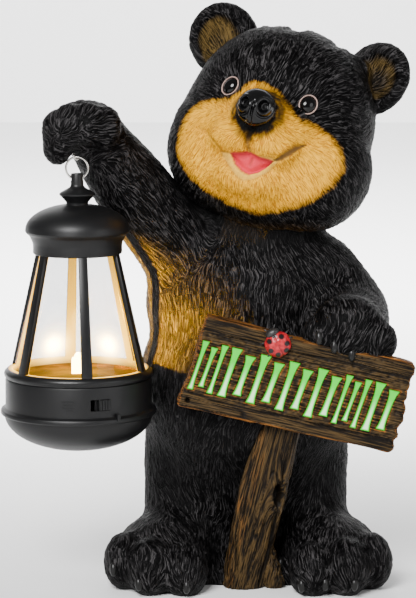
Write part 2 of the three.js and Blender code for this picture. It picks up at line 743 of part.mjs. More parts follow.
function lanternFrame() {
  const ringFoot = DECK_LEVEL + CLEARANCE;
  const ringTop = COLLAR_FOOT - CAGE_HEIGHT + 2;
  let frame = turned([
    [ribInner(ringFoot) + 0.1, ringFoot],
    [HOUSING_RADIUS, ringFoot],
    [HOUSING_RADIUS + 0.3, ringFoot + 2],
    [HOUSING_RADIUS - 1.2, ringTop],
    [ribInner(ringTop) + 0.1, ringTop],
    [ribInner(ringFoot) + 0.1, ringFoot],
  ]);
  frame = frame.add(
    turned([
      [ribInner(COLLAR_FOOT), COLLAR_FOOT + 0.6],
      [ROOF_RING_RADIUS, COLLAR_FOOT + 0.6],
      [ROOF_RING_RADIUS, COLLAR_TOP - 4],
      [ribInner(COLLAR_FOOT), COLLAR_TOP - 4],
      [ribInner(COLLAR_FOOT), COLLAR_FOOT + 0.6],
    ]),
  );
  for (let i = 0; i < RIB_COUNT; i++) {
    frame = frame.add(rib().rotate([0, 0, (360 * i) / RIB_COUNT + THREE.MathUtils.radToDeg(RIB_TURN)]));
  }
  // Room for the collar, which comes down over the heads of the ribs
  const room = COLLAR_FOOT - CLEARANCE;
  return frame.subtract(
    turned([
      [ROOF_RING_RADIUS, room],
      [COLLAR_RADIUS + 9, room],
      [COLLAR_RADIUS + 9, COLLAR_TOP],
      [ROOF_RING_RADIUS, COLLAR_TOP],
      [ROOF_RING_RADIUS, room],
    ]),
  );
}

function lanternGlass() {
  const foot = DECK_LEVEL + CLEARANCE;
  const head = COLLAR_TOP - 5;
  const outer = (height) => ribInner(height) - CLEARANCE;
  return turned([
    [outer(foot) - GLASS_THICKNESS, foot],
    [outer(foot), foot],
    [outer(head), head],
    [outer(head) - GLASS_THICKNESS, head],
    [outer(foot) - GLASS_THICKNESS, foot],
  ]);
}

// The switch lies in a window of the housing's wall and slides along it
const WINDOW_WIDTH = SWITCH_WIDTH + SWITCH_TRAVEL + 2 * CLEARANCE;
const switchPlace = (solid) => solid.rotate([0, 0, THREE.MathUtils.radToDeg(SWITCH_TURN)]);
const SWITCH_LEVEL = DECK_LEVEL - HOUSING_HEIGHT * 0.57;
const SWITCH_START = SWITCH_TRAVEL / 2;

function lanternBase() {
  const inner = HOUSING_RADIUS - WALL;
  const shell = turned([
    [0, DECK_LEVEL - WALL],
    [inner, DECK_LEVEL - WALL],
    [inner, FLANGE_FOOT],
    [FLANGE_RADIUS - 0.6, FLANGE_FOOT],
    [FLANGE_RADIUS, FLANGE_FOOT + 1],
    [FLANGE_RADIUS - 0.4, FLANGE_TOP - 1],
    [HOUSING_RADIUS, FLANGE_TOP + 0.4],
    [HOUSING_RADIUS, DECK_LEVEL - 1],
    [HOUSING_RADIUS - 0.8, DECK_LEVEL],
    [0, DECK_LEVEL],
  ]);
  const height = SWITCH_HEIGHT + 2 * CLEARANCE;
  const window = block(WINDOW_WIDTH, 12, height, 0, -HOUSING_RADIUS, SWITCH_LEVEL);
  return shell.subtract(switchPlace(window));
}

function switchSlider() {
  const plateFront = Math.sqrt((HOUSING_RADIUS - WALL) ** 2 - (WINDOW_WIDTH / 2 + 4) ** 2) - CLEARANCE;
  const nose = HOUSING_RADIUS + SWITCH_PROUD;
  const depth = nose - plateFront + 0.5;
  let slider = unite(
    block(SWITCH_WIDTH, depth, SWITCH_HEIGHT, SWITCH_START, -nose + depth / 2, SWITCH_LEVEL),
    block(SWITCH_WIDTH + 3, 1.5, SWITCH_HEIGHT + 3, SWITCH_START, -plateFront + 0.75, SWITCH_LEVEL),
  );
  // Grip grooves
  for (const share of [-0.3, 0, 0.3]) {
    const x = SWITCH_START + share * SWITCH_WIDTH;
    slider = slider.subtract(block(0.8, 1.2, SWITCH_HEIGHT + 1, x, -nose, SWITCH_LEVEL));
  }
  return switchPlace(slider);
}

function batteryCover() {
  const radius = HOUSING_RADIUS + 0.6;
  const outer = arc(4, -0.5 * Math.PI, 0, radius, BOWL_DEPTH, BOWL_TOP);
  const inner = arc(3, -0.5 * Math.PI, -0.12, radius - WALL - 0.5, BOWL_DEPTH - WALL, BOWL_TOP);
  const lip = HOUSING_RADIUS - WALL - CLEARANCE;
  return turned([
    ...outer,
    [lip, BOWL_TOP],
    [lip, BOWL_TOP + FLANGE_HEIGHT],
    [lip - WALL, BOWL_TOP + FLANGE_HEIGHT],
    [lip - WALL, BOWL_TOP - 1],
    ...inner.reverse(),
  ]);
}

function ledModule() {
  const foot = DECK_LEVEL + CLEARANCE;
  const reach = ribInner(foot) - CLEARANCE - GLASS_THICKNESS - 1;
  const plate = turned([[0, foot], [reach, foot], [reach - 0.5, foot + 1.5], [0, foot + 1.5]], 24);
  const lamp = block(LED_WIDTH, LED_WIDTH, LED_HEIGHT, 0, 0, foot + 1 + LED_HEIGHT / 2);
  const lens = egg(V(0, 0, foot + 1 + LED_HEIGHT), V(2.6, 2.6, 3.2), new THREE.Quaternion(), 10, 6);
  return unite(plate, lamp, lens);
}

// The whole casting, cut flat where it stands
function casting() {
  const room = 2 * STATUE_HEIGHT;
  const ground = block(room, room, room, 0, 0, room / 2);
  let cub = unite(skinOf(bodyMasses(), BODY_FACET), ...digits(), carvedHead());
  for (const socket of eyeSockets()) cub = cub.subtract(socket);
  return unite(cub, board(), post(), ladybird()).intersect(ground);
}

// Finishes

const finish = (color, roughness, metalness = 0) =>
  new THREE.MeshStandardMaterial({ color, roughness, metalness });
const PAINTED_RESIN = finish(0x17171a, 0.5);
const BLACK_PLASTIC = finish(0x1b1b1d, 0.45);
const STEEL_WIRE = finish(0xb9b6ae, 0.25, 1);
const CLEAR_PLASTIC = new THREE.MeshStandardMaterial({
  color: 0xf4f1ea,
  roughness: 0.05,
  transparent: true,
  opacity: 0.3,
});
const LAMP = finish(0xffd98a, 0.3);

// The statue, with the lantern in a group of its own under the ring

function piece(name, solid, material) {
  const mesh = new THREE.Mesh(geometryOf(solid), material);
  mesh.name = name;
  return mesh;
}

const statue = new THREE.Group();
statue.add(
  piece("bear_statue", casting(), PAINTED_RESIN),
  piece("paw_eye", pawEye(), STEEL_WIRE),
  piece("hanging_ring", hangingRing(), STEEL_WIRE),
);

const lantern = new THREE.Group();
lantern.position.set(HANG.x, HANG.y, 0);
lantern.add(
  piece("lantern_cap", lanternCap(), BLACK_PLASTIC),
  piece("lantern_frame", lanternFrame(), BLACK_PLASTIC),
  piece("lantern_glass", lanternGlass(), CLEAR_PLASTIC),
  piece("lantern_base", lanternBase(), BLACK_PLASTIC),
  piece("battery_cover", batteryCover(), BLACK_PLASTIC),
  piece("switch_slider", switchSlider(), BLACK_PLASTIC),
  piece("led_module", ledModule(), LAMP),
);
statue.add(lantern);

export default statue;
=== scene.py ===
"""The finished look of the garden statue: a bear cub with a hanging lantern and a board on a post.

The cub faces -Y. Lengths are in millimetres until at() or MM turns them into metres.
"""

import math
from contextlib import contextmanager

import bpy
import numpy as np
from mathutils import Matrix, Vector, kdtree


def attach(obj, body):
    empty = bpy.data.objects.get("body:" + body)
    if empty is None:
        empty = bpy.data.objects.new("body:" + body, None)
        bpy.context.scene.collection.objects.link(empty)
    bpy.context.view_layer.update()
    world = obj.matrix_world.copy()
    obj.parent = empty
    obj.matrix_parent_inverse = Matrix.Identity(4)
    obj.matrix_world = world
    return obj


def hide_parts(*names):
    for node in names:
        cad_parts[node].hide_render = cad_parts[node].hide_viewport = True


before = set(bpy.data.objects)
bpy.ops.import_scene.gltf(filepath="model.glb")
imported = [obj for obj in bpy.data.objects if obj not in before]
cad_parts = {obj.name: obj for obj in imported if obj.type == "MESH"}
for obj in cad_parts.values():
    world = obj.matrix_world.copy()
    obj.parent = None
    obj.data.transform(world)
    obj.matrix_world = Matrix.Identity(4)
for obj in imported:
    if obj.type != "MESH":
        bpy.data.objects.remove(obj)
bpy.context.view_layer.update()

MM = 0.001
BODY_CELL = 1.38  # the size of a face on the cub's fur
HEAD_CELL = 0.91
CREASE_ANGLE = 32
NOISE_SEED = 11


def at(x, y, z):
    return Vector((x, y, z)) * MM


def mm(place):
    return np.array(place) / MM


def turn(degrees, axis):
    return Matrix.Rotation(math.radians(degrees), 3, axis)


PLAIN = Matrix.Identity(3)

# Pose of the cub

BELLY_RADII = (65, 61, 64)
FLANGE_RADIUS = 45.2
HANG_REACH = BELLY_RADII[0] + 3.3 + FLANGE_RADIUS
HANG = Vector((-0.873, -0.487, 0)).normalized() * HANG_REACH * MM + at(0, 0, 259.5)
SHOULDER = at(-39, -4, 192)
FIST = HANG + at(5, 5, 13)
WRIST = SHOULDER.lerp(FIST, 0.66) + at(2, 8, -5)
ELBOW = at(61, -19, 158)
PAW = at(60, -54, 151)
FEET = {-1: at(-50, -30, 14), 1: at(49, -30, 14)}
SPLAY = {side: turn(9 * side, "Z") for side in (-1, 1)}

HEAD = at(16.6, -8, 264.3)
HEAD_TURN = turn(13, "Y") @ turn(-14.8, "Z") @ turn(-8, "X")
EAR_PLACES = {-1: (-50, 17.5, 48.2), 1: (45.7, 17.5, 46.6)}
EARS = {
    side: turn(-18 * side, "Z") @ turn(16 * side, "Y") @ turn(-8, "X")
    for side in (-1, 1)
}

TOES = [
    ((-18, -31, -1), (13, 17.5, 16.5)),
    ((2, -35, 1), (13.5, 16.5, 17.5)),
    ((19, -25, 2), (12.5, 17, 17)),
]
BOARD_FINGERS = [
    ((-18, -8, 1), (12, 11.5, 12)),
    ((-4, -10.5, -0.5), (12.5, 12, 13)),
    ((13, -8, -3), (12.5, 12, 13)),
]
FIST_FINGERS = [
    ((-16, -9, -13), (8.5, 9.5, 10)),
    ((-16, -8, -3), (9, 11, 12)),
    ((-9, -14, 0), (9.5, 10, 13)),
    ((2, -16, 1.5), (9.5, 10, 12.5)),
    ((12, -12, -0.5), (9, 10, 12)),
]


def on_head(x, y, z):
    return HEAD + HEAD_TURN @ at(x, y, z)


# Shaping


def only(*objects):
    bpy.ops.object.select_all(action="DESELECT")
    for o in objects:
        o.select_set(True)
    bpy.context.view_layer.objects.active = objects[0]


@contextmanager
def editing(obj):
    """Edit mode with everything in the object selected."""
    only(obj)
    bpy.ops.object.mode_set(mode="EDIT")
    bpy.ops.mesh.select_all(action="SELECT")
    yield
    bpy.ops.object.mode_set(mode="OBJECT")


def fresh(primitive, **settings):
    """A new primitive, made while nothing else is selected."""
    bpy.ops.object.select_all(action="DESELECT")
    primitive(**settings)
    return bpy.context.active_object


def settled(obj, centre, rotation=PLAIN, scale=(1, 1, 1)):
    """Sizes, turns and moves a new shape, and leaves the object itself untransformed."""
    obj.matrix_world = Matrix.LocRotScale(centre, rotation.to_quaternion(), Vector(scale))
    only(obj)
    bpy.ops.object.transform_apply()
    return obj


def egg(centre, radii, rotation=PLAIN, segments=40, rings=20):
    add = bpy.ops.mesh.primitive_uv_sphere_add
    ball = fresh(add, segments=segments, ring_count=rings, radius=1)
    return settled(ball, centre, rotation, at(*radii))


def block(centre, size, rotation=PLAIN):
    return settled(fresh(bpy.ops.mesh.primitive_cube_add, size=1), centre, rotation, at(*size))


def wire_ring(radius, wire, steps):
    return fresh(
        bpy.ops.mesh.primitive_torus_add, major_radius=radius * MM, minor_radius=wire * MM,
        major_segments=steps, minor_segments=16,
    )


def shaft(start, end, start_radius, end_radius, vertices=40, extra=0.0):
    along = end - start
    cone = fresh(
        bpy.ops.mesh.primitive_cone_add, vertices=vertices, radius1=start_radius * MM,
        radius2=end_radius * MM, depth=along.length + extra * MM,
    )
    return settled(cone, (start + end) / 2, along.to_track_quat("Z", "Y").to_matrix())


def limb(start, end, start_radius, end_radius):
    """A tapered limb with round ends."""
    return [
        shaft(start, end, start_radius, end_radius),
        egg(start, (start_radius,) * 3),
        egg(end, (end_radius,) * 3),
    ]


def joined(name, parts):
    only(*parts)
    bpy.ops.object.join()
    obj = bpy.context.active_object
    obj.name = name
    obj.data.name = name
    return obj


def changed(obj, kind, **settings):
    """Adds a modifier with these settings and applies it."""
    modifier = obj.modifiers.new(kind.title(), kind)
    for key, value in settings.items():
        setattr(modifier, key, value)
    only(obj)
    bpy.ops.object.modifier_apply(modifier=modifier.name)
    return obj


def cut(obj, tool):
    changed(obj, "BOOLEAN", operation="DIFFERENCE", object=tool, solver="EXACT")
    bpy.data.objects.remove(tool)


def skinned(obj, cell, softening, swell=0.0):
    """One closed skin over overlapping shapes, softened, and then let out by a small swell."""
    changed(obj, "REMESH", mode="VOXEL", voxel_size=cell * MM)
    changed(obj, "SMOOTH", factor=0.5, iterations=softening)
    if swell:
        move_points(obj, points(obj) + normals(obj) * swell)
    return obj


def faced_out(obj):
    with editing(obj):
        bpy.ops.mesh.normals_make_consistent(inside=False)
    return obj


def points(obj):
    co = np.empty(len(obj.data.vertices) * 3)
    obj.data.vertices.foreach_get("co", co)
    return co.reshape(-1, 3) / MM


def normals(obj):
    out = np.empty(len(obj.data.vertices) * 3)
    obj.data.vertices.foreach_get("normal", out)
    return out.reshape(-1, 3)


def move_points(obj, co):
    obj.data.vertices.foreach_set("co", (co * MM).ravel())
    obj.data.update()


def store(obj, name, values):
    """Keeps a number or a direction for each vertex, for the materials."""
    kind = "FLOAT_VECTOR" if values.ndim == 2 else "FLOAT"
    field = "vector" if values.ndim == 2 else "value"
    attribute = obj.data.attributes.new(name, kind, "POINT")
    attribute.data.foreach_set(field, values.astype(np.float32).ravel())


def finished(obj, body, slot, material, *nodes, sharp=None):
    """Shades a piece, gives it its material and ties it to its rigid body."""
    only(obj)
    if sharp:
        bpy.ops.object.shade_smooth_by_angle(angle=math.radians(sharp))
    else:
        bpy.ops.object.shade_smooth()
    obj.data.materials.clear()
    obj.data.materials.append(material)
    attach(obj, body)
    if nodes:
        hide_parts(*nodes)
    return obj


# Numbers over many points


def smooth(low, high, value):
    share = np.clip((value - low) / (high - low), 0, 1)
    return share * share * (3 - 2 * share)


def noise(points_, seed=0):
    """Smooth random values from -1 to 1, one for each row of coordinates."""
    base = np.floor(points_).astype(np.int64)
    part = points_ - base
    part = part * part * (3 - 2 * part)
    total = np.zeros(len(points_))
    for corner in range(8):
        step = np.array([corner & 1, corner >> 1 & 1, corner >> 2])
        key = (base + step) @ np.array([73856093, 19349663, 83492791])
        key += (seed + NOISE_SEED) * 2654435
        key = (key ^ (key >> 13)) * 1274126177 & 0x7FFFFFFF
        key = (key ^ (key >> 16)) * 668265263 & 0x7FFFFFFF
        weight = np.prod(np.where(step, part, 1 - part), axis=1)
        total += weight * (key / 0x3FFFFFFF - 1)
    return total


def outline_distance(x, z, outline, closed=True):
    """Distance to an outline or line in a plane: negative inside a closed outline."""
    corners = np.array(outline, float)
    ends = np.roll(corners, -1, axis=0)
    if not closed:
        corners, ends = corners[:-1], ends[:-1]
    nearest = np.full(len(x), 1e9)
    inside = np.zeros(len(x), bool)
    for (ax, az), (bx, bz) in zip(corners, ends):
        dx, dz = bx - ax, bz - az
        share = np.clip(((x - ax) * dx + (z - az) * dz) / (dx * dx + dz * dz), 0, 1)
        nearest = np.minimum(nearest, np.hypot(x - ax - share * dx, z - az - share * dz))
        crosses = (az > z) != (bz > z)
        with np.errstate(divide="ignore", invalid="ignore"):
            inside ^= crosses & (x < dx * (z - az) / (dz if dz else 1e-9) + ax)
    return np.where(inside & closed, -nearest, nearest)


def unit(vectors):
    return vectors / np.maximum(np.linalg.norm(vectors, axis=1, keepdims=True), 1e-9)


def along_skin(direction, normal):
    return unit(direction - (direction * normal).sum(1, keepdims=True) * normal)


def axis_distance(co, start, end):
    a, b = mm(start), mm(end)
    along = b - a
    share = np.clip((co - a) @ along / (along @ along), 0, 1)
    return np.linalg.norm(co - a - share[:, None] * along, axis=1)


def comb(obj, direction, wander, seed):
    """The way the hair lies at each vertex: along the skin, wandering a little."""
    co, normal = points(obj), normals(obj)
    flow = along_skin(direction(co), normal)
    side = np.cross(normal, flow)
    angle = wander * (0.65 * noise(co / 24, seed) + 0.5 * noise(co / 10, seed + 1))
    angle = angle[:, None]
    return unit(flow * np.cos(angle) + side * np.sin(angle))


def tufted(obj, flow, length, width, height, count, seed, keep):
    """Raises overlapping tufts: each has a root on the skin and lies the way its hair flows."""
    co, normal = points(obj), normals(obj)
    rng = np.random.default_rng(seed)
    chosen = rng.choice(len(co), min(count, len(co)), replace=False)
    tree = kdtree.KDTree(len(chosen))
    for i, vertex in enumerate(chosen):
        tree.insert(co[vertex], i)
    tree.balance()
    near = np.array([[hit[1] for hit in tree.find_n(p, 9)] for p in co])
    best = np.full(len(co), 1e9)
    second = np.full(len(co), 1e9)
    along = np.zeros(len(co))
    across = np.zeros(len(co))
    lift = rng.uniform(-0.3, 0.3, len(chosen))
    raised = np.zeros(len(co))
    for k in range(near.shape[1]):
        vertex = chosen[near[:, k]]
        offset = co - co[vertex]
        u = (offset * flow[vertex]).sum(1) / length
        v = (offset * np.cross(normal[vertex], flow[vertex])).sum(1) / width
        reach = np.sqrt(u * u + v * v + ((offset * normal[vertex]).sum(1) / width) ** 2)
        closer = reach < best
        second = np.where(closer, best, np.minimum(second, reach))
        along = np.where(closer, u, along)
        across = np.where(closer, v, across)
        raised = np.where(closer, lift[near[:, k]], raised)
        best = np.where(closer, reach, best)
    border = smooth(0, 0.45, second - best)
    ridge = 0.55 + 0.45 * np.clip(along, -1, 1) + raised - 0.35 * np.clip(across, -1, 1) ** 2
    relief = border * ridge + 0.12 * np.cos(across * 9) * border
    relief -= relief.mean()
    move_points(obj, co + normal * (relief * height * keep)[:, None])
    return relief


# Materials


class Wire:
    """One output of a shader node, for plain arithmetic."""

    def __init__(self, socket):
        self.socket = socket

    def node(self, kind, settings, inputs, output=0):
        return Wire(put(self.socket.id_data, kind, settings, inputs).outputs[output])

    def math(self, operation, *values):
        inputs = dict(enumerate(values))
        return self.node("ShaderNodeMath", {"operation": operation}, inputs)

    def vector(self, operation, *values, output=0):
        inputs = dict(enumerate(values))
        return self.node("ShaderNodeVectorMath", {"operation": operation}, inputs, output)

    def __add__(self, other):
        return self.math("ADD", self, other)

    def __radd__(self, other):
        return self.math("ADD", other, self)

    def __sub__(self, other):
        return self.math("SUBTRACT", self, other)

    def __rsub__(self, other):
        return self.math("SUBTRACT", other, self)

    def __mul__(self, other):
        return self.math("MULTIPLY", self, other)

    def __truediv__(self, other):
        return self.math("DIVIDE", self, other)

    def __rtruediv__(self, other):
        return self.math("DIVIDE", other, self)

    def __pow__(self, other):
        return self.math("POWER", self, other)

    def ramp(self, low, high):
        """0 at low, 1 at high, smooth between."""
        inputs = {"Value": self, "From Min": low, "From Max": high}
        return self.node("ShaderNodeMapRange", {"interpolation_type": "SMOOTHSTEP"}, inputs)

    def colours(self, low, high):
        """A colour that goes from low to high as this goes from 0 to 1."""
        inputs = {0: self, 6: low, 7: high}
        return self.node("ShaderNodeMix", {"data_type": "RGBA"}, inputs, 2)

    def shifted(self, offset):
        return self.vector("ADD", self, offset)

    def scaled(self, factor):
        inputs = {0: self, 3: factor}
        return self.node("ShaderNodeVectorMath", {"operation": "SCALE"}, inputs)


def plug(socket, value):
    """Links a wire to a socket, or sets its plain number, vector or colour."""
    if isinstance(value, Wire):
        socket.id_data.links.new(value.socket, socket)
    elif socket.type == "RGBA":
        socket.default_value = (*value, 1.0)
    else:
        socket.default_value = value


def put(tree, kind, settings, inputs):
    node = tree.nodes.new(kind)
    for key, value in settings.items():
        setattr(node, key, value)
    for key, value in inputs.items():
        plug(node.inputs[key], value)
    return node


class Finish:
    """A material with one principled surface."""

    def __init__(self, name, **inputs):
        self.material = bpy.data.materials.new(name)
        self.material.use_nodes = True
        self.tree = self.material.node_tree
        self.tree.nodes.clear()
        self.surface = put(self.tree, "ShaderNodeBsdfPrincipled", {}, {})
        out = put(self.tree, "ShaderNodeOutputMaterial", {}, {})
        self.tree.links.new(self.surface.outputs[0], out.inputs[0])
        self.set(**inputs)

    def set(self, **inputs):
        for key, value in inputs.items():
            plug(self.surface.inputs[key.replace("_", " ")], value)

    def wire(self, kind, settings, inputs, output=0):
        return Wire(put(self.tree, kind, settings, inputs).outputs[output])

    def place(self):
        """The shaded point, in millimetres."""
        return self.wire("ShaderNodeTexCoord", {}, {}, 3).scaled(1 / MM)

    def value(self, name):
        return self.wire("ShaderNodeAttribute", {"attribute_name": name}, {}, 2)

    def direction(self, name):
        return self.wire("ShaderNodeAttribute", {"attribute_name": name}, {}, 1)

    def clouds(self, place, size, detail=2.0):
        inputs = {"Vector": place, "Scale": 1 / size, "Detail": detail}
        return self.wire("ShaderNodeTexNoise", {}, inputs)

    def bumped(self, height, distance, strength=1.0):
        inputs = {"Height": height, "Distance": distance * MM, "Strength": strength}
        self.set(Normal=self.wire("ShaderNodeBump", {}, inputs))


def hairs(finish, patch, width, length, offset):
    """Fine hairs that lie along the flow, in patches that each have hairs of their own."""
    place = finish.place().shifted((offset, 2 * offset, 3 * offset))
    inputs = {"Vector": place, "Scale": 1 / patch}
    patches = put(finish.tree, "ShaderNodeTexVoronoi", {}, inputs)
    own = Wire(patches.outputs["Color"])
    local = place.vector("SUBTRACT", place, Wire(patches.outputs["Position"]))
    flow = finish.direction("flow")
    normal = finish.wire("ShaderNodeNewGeometry", {}, {}, 1)
    side = flow.vector("CROSS_PRODUCT", normal, flow)
    along = local.vector("DOT_PRODUCT", local, flow, output=1) / length
    across = local.vector("DOT_PRODUCT", local, side, output=1) / width
    number = own.node("ShaderNodeSeparateColor", {}, {0: own}, 0) * 50
    inputs = {0: across, 1: along, 2: number}
    grid = across.node("ShaderNodeCombineXYZ", {}, inputs)
    return finish.clouds(grid, 1.0, 1.5)


def fur_material():
    finish = Finish("painted_fur", Specular_IOR_Level=0.05)
    broad = hairs(finish, 9.0, 0.66, 10.0, 0.0)
    fine = hairs(finish, 6.0, 0.42, 6.0, 31.0)
    strands = broad * 0.68 + fine * 0.32
    relief = finish.value("relief")
    bare = finish.value("bare")
    # On the black fur the strands' ridges are painted grey as a painted sheen, and the gaps
    # between them near black as painted shade.
    tip = (strands + relief * 0.035).ramp(0.48, 0.68)
    ridge = (strands + relief * 0.03).ramp(0.39, 0.55)
    black = tip.colours((0.0007, 0.0006, 0.0007), (0.050, 0.047, 0.048))
    wisps = (broad * 0.35 + fine * 0.65 + relief * 0.02).ramp(0.38, 0.58)
    gold = wisps.colours((0.40, 0.150, 0.003), (0.82, 0.40, 0.008))
    brown = ridge.colours((0.012, 0.008, 0.003), (0.10, 0.063, 0.019))
    tan = finish.value("tan") + (strands - 0.5) * 0.34
    airbrushed = ridge.colours((0.03, 0.012, 0.001), (0.27, 0.125, 0.010))
    skin = tan.ramp(0.2, 0.5).colours(black, tan.ramp(0.3, 1.0).colours(airbrushed, gold))
    ear = (finish.value("ear") + (strands - 0.5) * 0.6).ramp(0.2, 0.9)
    skin = ear.colours(skin, brown)
    skin = finish.value("lip").colours(skin, (0.62, 0.36, 0.06))
    skin = finish.value("tongue").colours(skin, (0.54, 0.030, 0.048))
    # Painted shade in the face's creases and under the upper lip.
    skin = finish.value("crease_shade").colours(skin, (0.10, 0.052, 0.018))
    # Black paint around the nose, and painted shade under the chin and on the legs.
    skin = finish.value("dark_paint_and_shade").colours(skin, (0.003, 0.003, 0.003))
    finish.set(Base_Color=skin)
    finish.set(Roughness=0.5 - finish.value("tongue") * 0.15)
    finish.bumped((strands + relief * 0.05) * (1 - bare), 1.5, 1.0)
    return finish.material


FUR = fur_material()


# The head

FACE_OUTLINE = [
    (-46.6, -30.3), (-49.5, -17.7), (-48.2, -5.2), (-41.3, 4.1), (-31.9, 8.1), (-22.7, 9.5),
    (-18.3, 14.6), (-15.6, 19.6), (-10.6, 23.8), (-2.3, 23.2), (6.2, 19.7), (13.3, 15.5),
    (18.5, 10.6), (23.3, 7.8), (29.9, 7.4), (38.5, 4.6), (45.7, -0.6), (50.1, -6.7),
    (52, -11.9), (51.2, -19.5), (47.2, -28.2), (38.8, -36.8), (29.1, -43.2), (18.6, -48),
    (9, -51), (-1.8, -51.4), (-13.4, -49.5), (-24.9, -45.8), (-33.6, -41), (-40.3, -36.7),
]
MOUTH = [
    (-10.9, -21.6), (-8.4, -20.5), (-4.5, -19.6), (-1.6, -18.5), (0.8, -18.2), (4.0, -18.9),
    (6.2, -19.6), (8.9, -19.8), (15.2, -19.8), (14.6, -21.2), (11.1, -24.8), (7.6, -28.6),
    (2.4, -31.4), (-2.5, -30), (-7.3, -27.1),
]
LIP = [
    (-16.8, -22), (-16.0, -24), (-13.8, -25.6), (-10.5, -28.6), (-4.8, -33.1), (0.3, -35.2),
    (6, -32.9), (11.3, -28.1), (15.8, -21.9), (18.6, -18.6), (14, -18.6),
]
LEFT_SMILE = [(-36, -10.8), (-31, -11.8), (-25.7, -15), (-20.8, -18), (-17.1, -20.8)]
RIGHT_SMILE = [
    (15.8, -19.5), (19.2, -17.3), (21.7, -14.9), (23.8, -12.3), (25.4, -9.7), (28.6, -6.4),
]
PHILTRUM = [(0.1, -6), (-1.3, -10.5), (-1.6, -13.9), (-1.0, -16.2), (0.8, -18.2)]
TONGUE_CREASE = [(2.0, -21.5), (1.6, -25.5)]


def head_form():
    def part(centre, radii):
        return egg(on_head(*centre), radii, HEAD_TURN)

    masses = [
        part((-0.5, 5, 8), (56.5, 53.5, 57.5)),
        part((-22.5, -6, -17), (38, 42.5, 38)),
        part((25, -6, -16), (38, 42.5, 38)),
        part((1, -8, -26), (44, 42, 32.5)),
        part((0, -34, -5), (34.5, 30, 23.5)),
        part((0, -54, 3), (17.5, 20, 15.5)),
        part((-11, -50, -12), (16.5, 17, 11.5)),
        part((11, -50, -12), (16.5, 17, 11.5)),
        part((0, -36, -32), (24.5, 22, 13.5)),
        part((33, 14, 48), (11, 10, 9.5)),
    ]
    head = skinned(joined("cub_head", masses), 2.5, 16)
    ears = []
    for side, cup in EARS.items():
        rotation = HEAD_TURN @ cup
        x, y, z = EAR_PLACES[side]
        ear = egg(on_head(x, y, z), (21.3, 10.5, 23), rotation)
        hollow = egg(on_head(x + 0.5 * side, y - 11, z - 0.5), (15.5, 9, 17), rotation)
        cut(ear, hollow)
        ears.append(ear)
    return skinned(joined("cub_head", [head, *ears]), HEAD_CELL, 4)


def in_head(co):
    """Points in the head's own frame, in millimetres."""
    return (co - mm(HEAD)) @ np.array(HEAD_TURN)


def from_head(local):
    return local @ np.array(HEAD_TURN).T + mm(HEAD)


def head_hair(co):
    """Back from the nose over the brow, out over the cheeks and down to the chin."""
    local = in_head(co)
    away = unit(local - np.array([0, -70, 2]))
    away[:, 2] += np.where(local[:, 2] < 0, -0.5, 0.25)
    away[:, 1] += 0.5
    for side in EARS:
        root = np.array([side * 40, 14, 36])
        near = smooth(34, 22, np.linalg.norm(local - np.array(EAR_PLACES[side]), axis=1))
        away = away * (1 - near[:, None]) + unit(local - root) * near[:, None]
    return away @ np.array(HEAD_TURN).T


def smile_shade(x, z):
    """How strongly shade is painted along the smile: a thin line on the left, a wedge of shadow
    under the lip's pad on the right.
    """
    left = outline_distance(x, z, LEFT_SMILE, closed=False)
    right = outline_distance(x, z, RIGHT_SMILE, closed=False)
    width = 0.7 + 1.1 * smooth(15, 21, x) * smooth(29, 24, x)
    return np.maximum(0.42 * smooth(1.1, 0.2, left), 0.95 * smooth(1.3, 0.35, right / width))


def carve_face(head):
    """Presses the crown, the mouth with its tongue, the smile and the philtrum into the head."""
    co = points(head)
    local = in_head(co)
    x, y, z = local.T
    front = smooth(-15, -30, y)
    mouth = outline_distance(x, z, MOUTH)
    left = outline_distance(x, z, LEFT_SMILE, closed=False)
    right = outline_distance(x, z, RIGHT_SMILE, closed=False)
    lip = outline_distance(x, z, LIP)
    philtrum = outline_distance(x, z, PHILTRUM, closed=False)
    crease = outline_distance(x, z, TONGUE_CREASE, closed=False)
    depth = smooth(0.3, -1.0, mouth) * (4.4 - 2.6 * smooth(-0.8, -5.0, mouth))
    depth += 1.3 * np.exp(-((crease / 0.8) ** 2)) * smooth(-1, -3, mouth)
    depth += 1.5 * np.exp(-((left / 1.1) ** 2)) + 2.6 * np.exp(-((right / 1.7) ** 2))
    depth += 1.0 * np.exp(-((lip / 1.2) ** 2)) * smooth(0.5, 2.0, mouth)
    depth += 4.2 * np.exp(-((philtrum / 2.2) ** 2)) * smooth(-0.5, 1.0, mouth)
    for px, pz in ((-9.5, -12), (9.5, -12.5)):
        pad = np.hypot((x - px) / 9.5, (z - pz) / 8.5)
        depth -= 1.7 * smooth(1.1, 0.2, pad)
    local[:, 1] += depth * front
    local[:, 0] -= 2.4 * smooth(-25, -42, x) * np.exp(-(((z - 3) / 11) ** 2))
    top = smooth(30, 50, z) * smooth(-25, -5, y)
    dent = 1.2 * smooth(-24, -18, x) * smooth(24, 16, x)
    dent += 2.4 * smooth(-10, -7, x) * smooth(4, -1, x)
    dent += 1.8 * smooth(17, 21, x) * smooth(27, 23, x)
    local[:, 2] -= dent * top
    move_points(head, from_head(local))


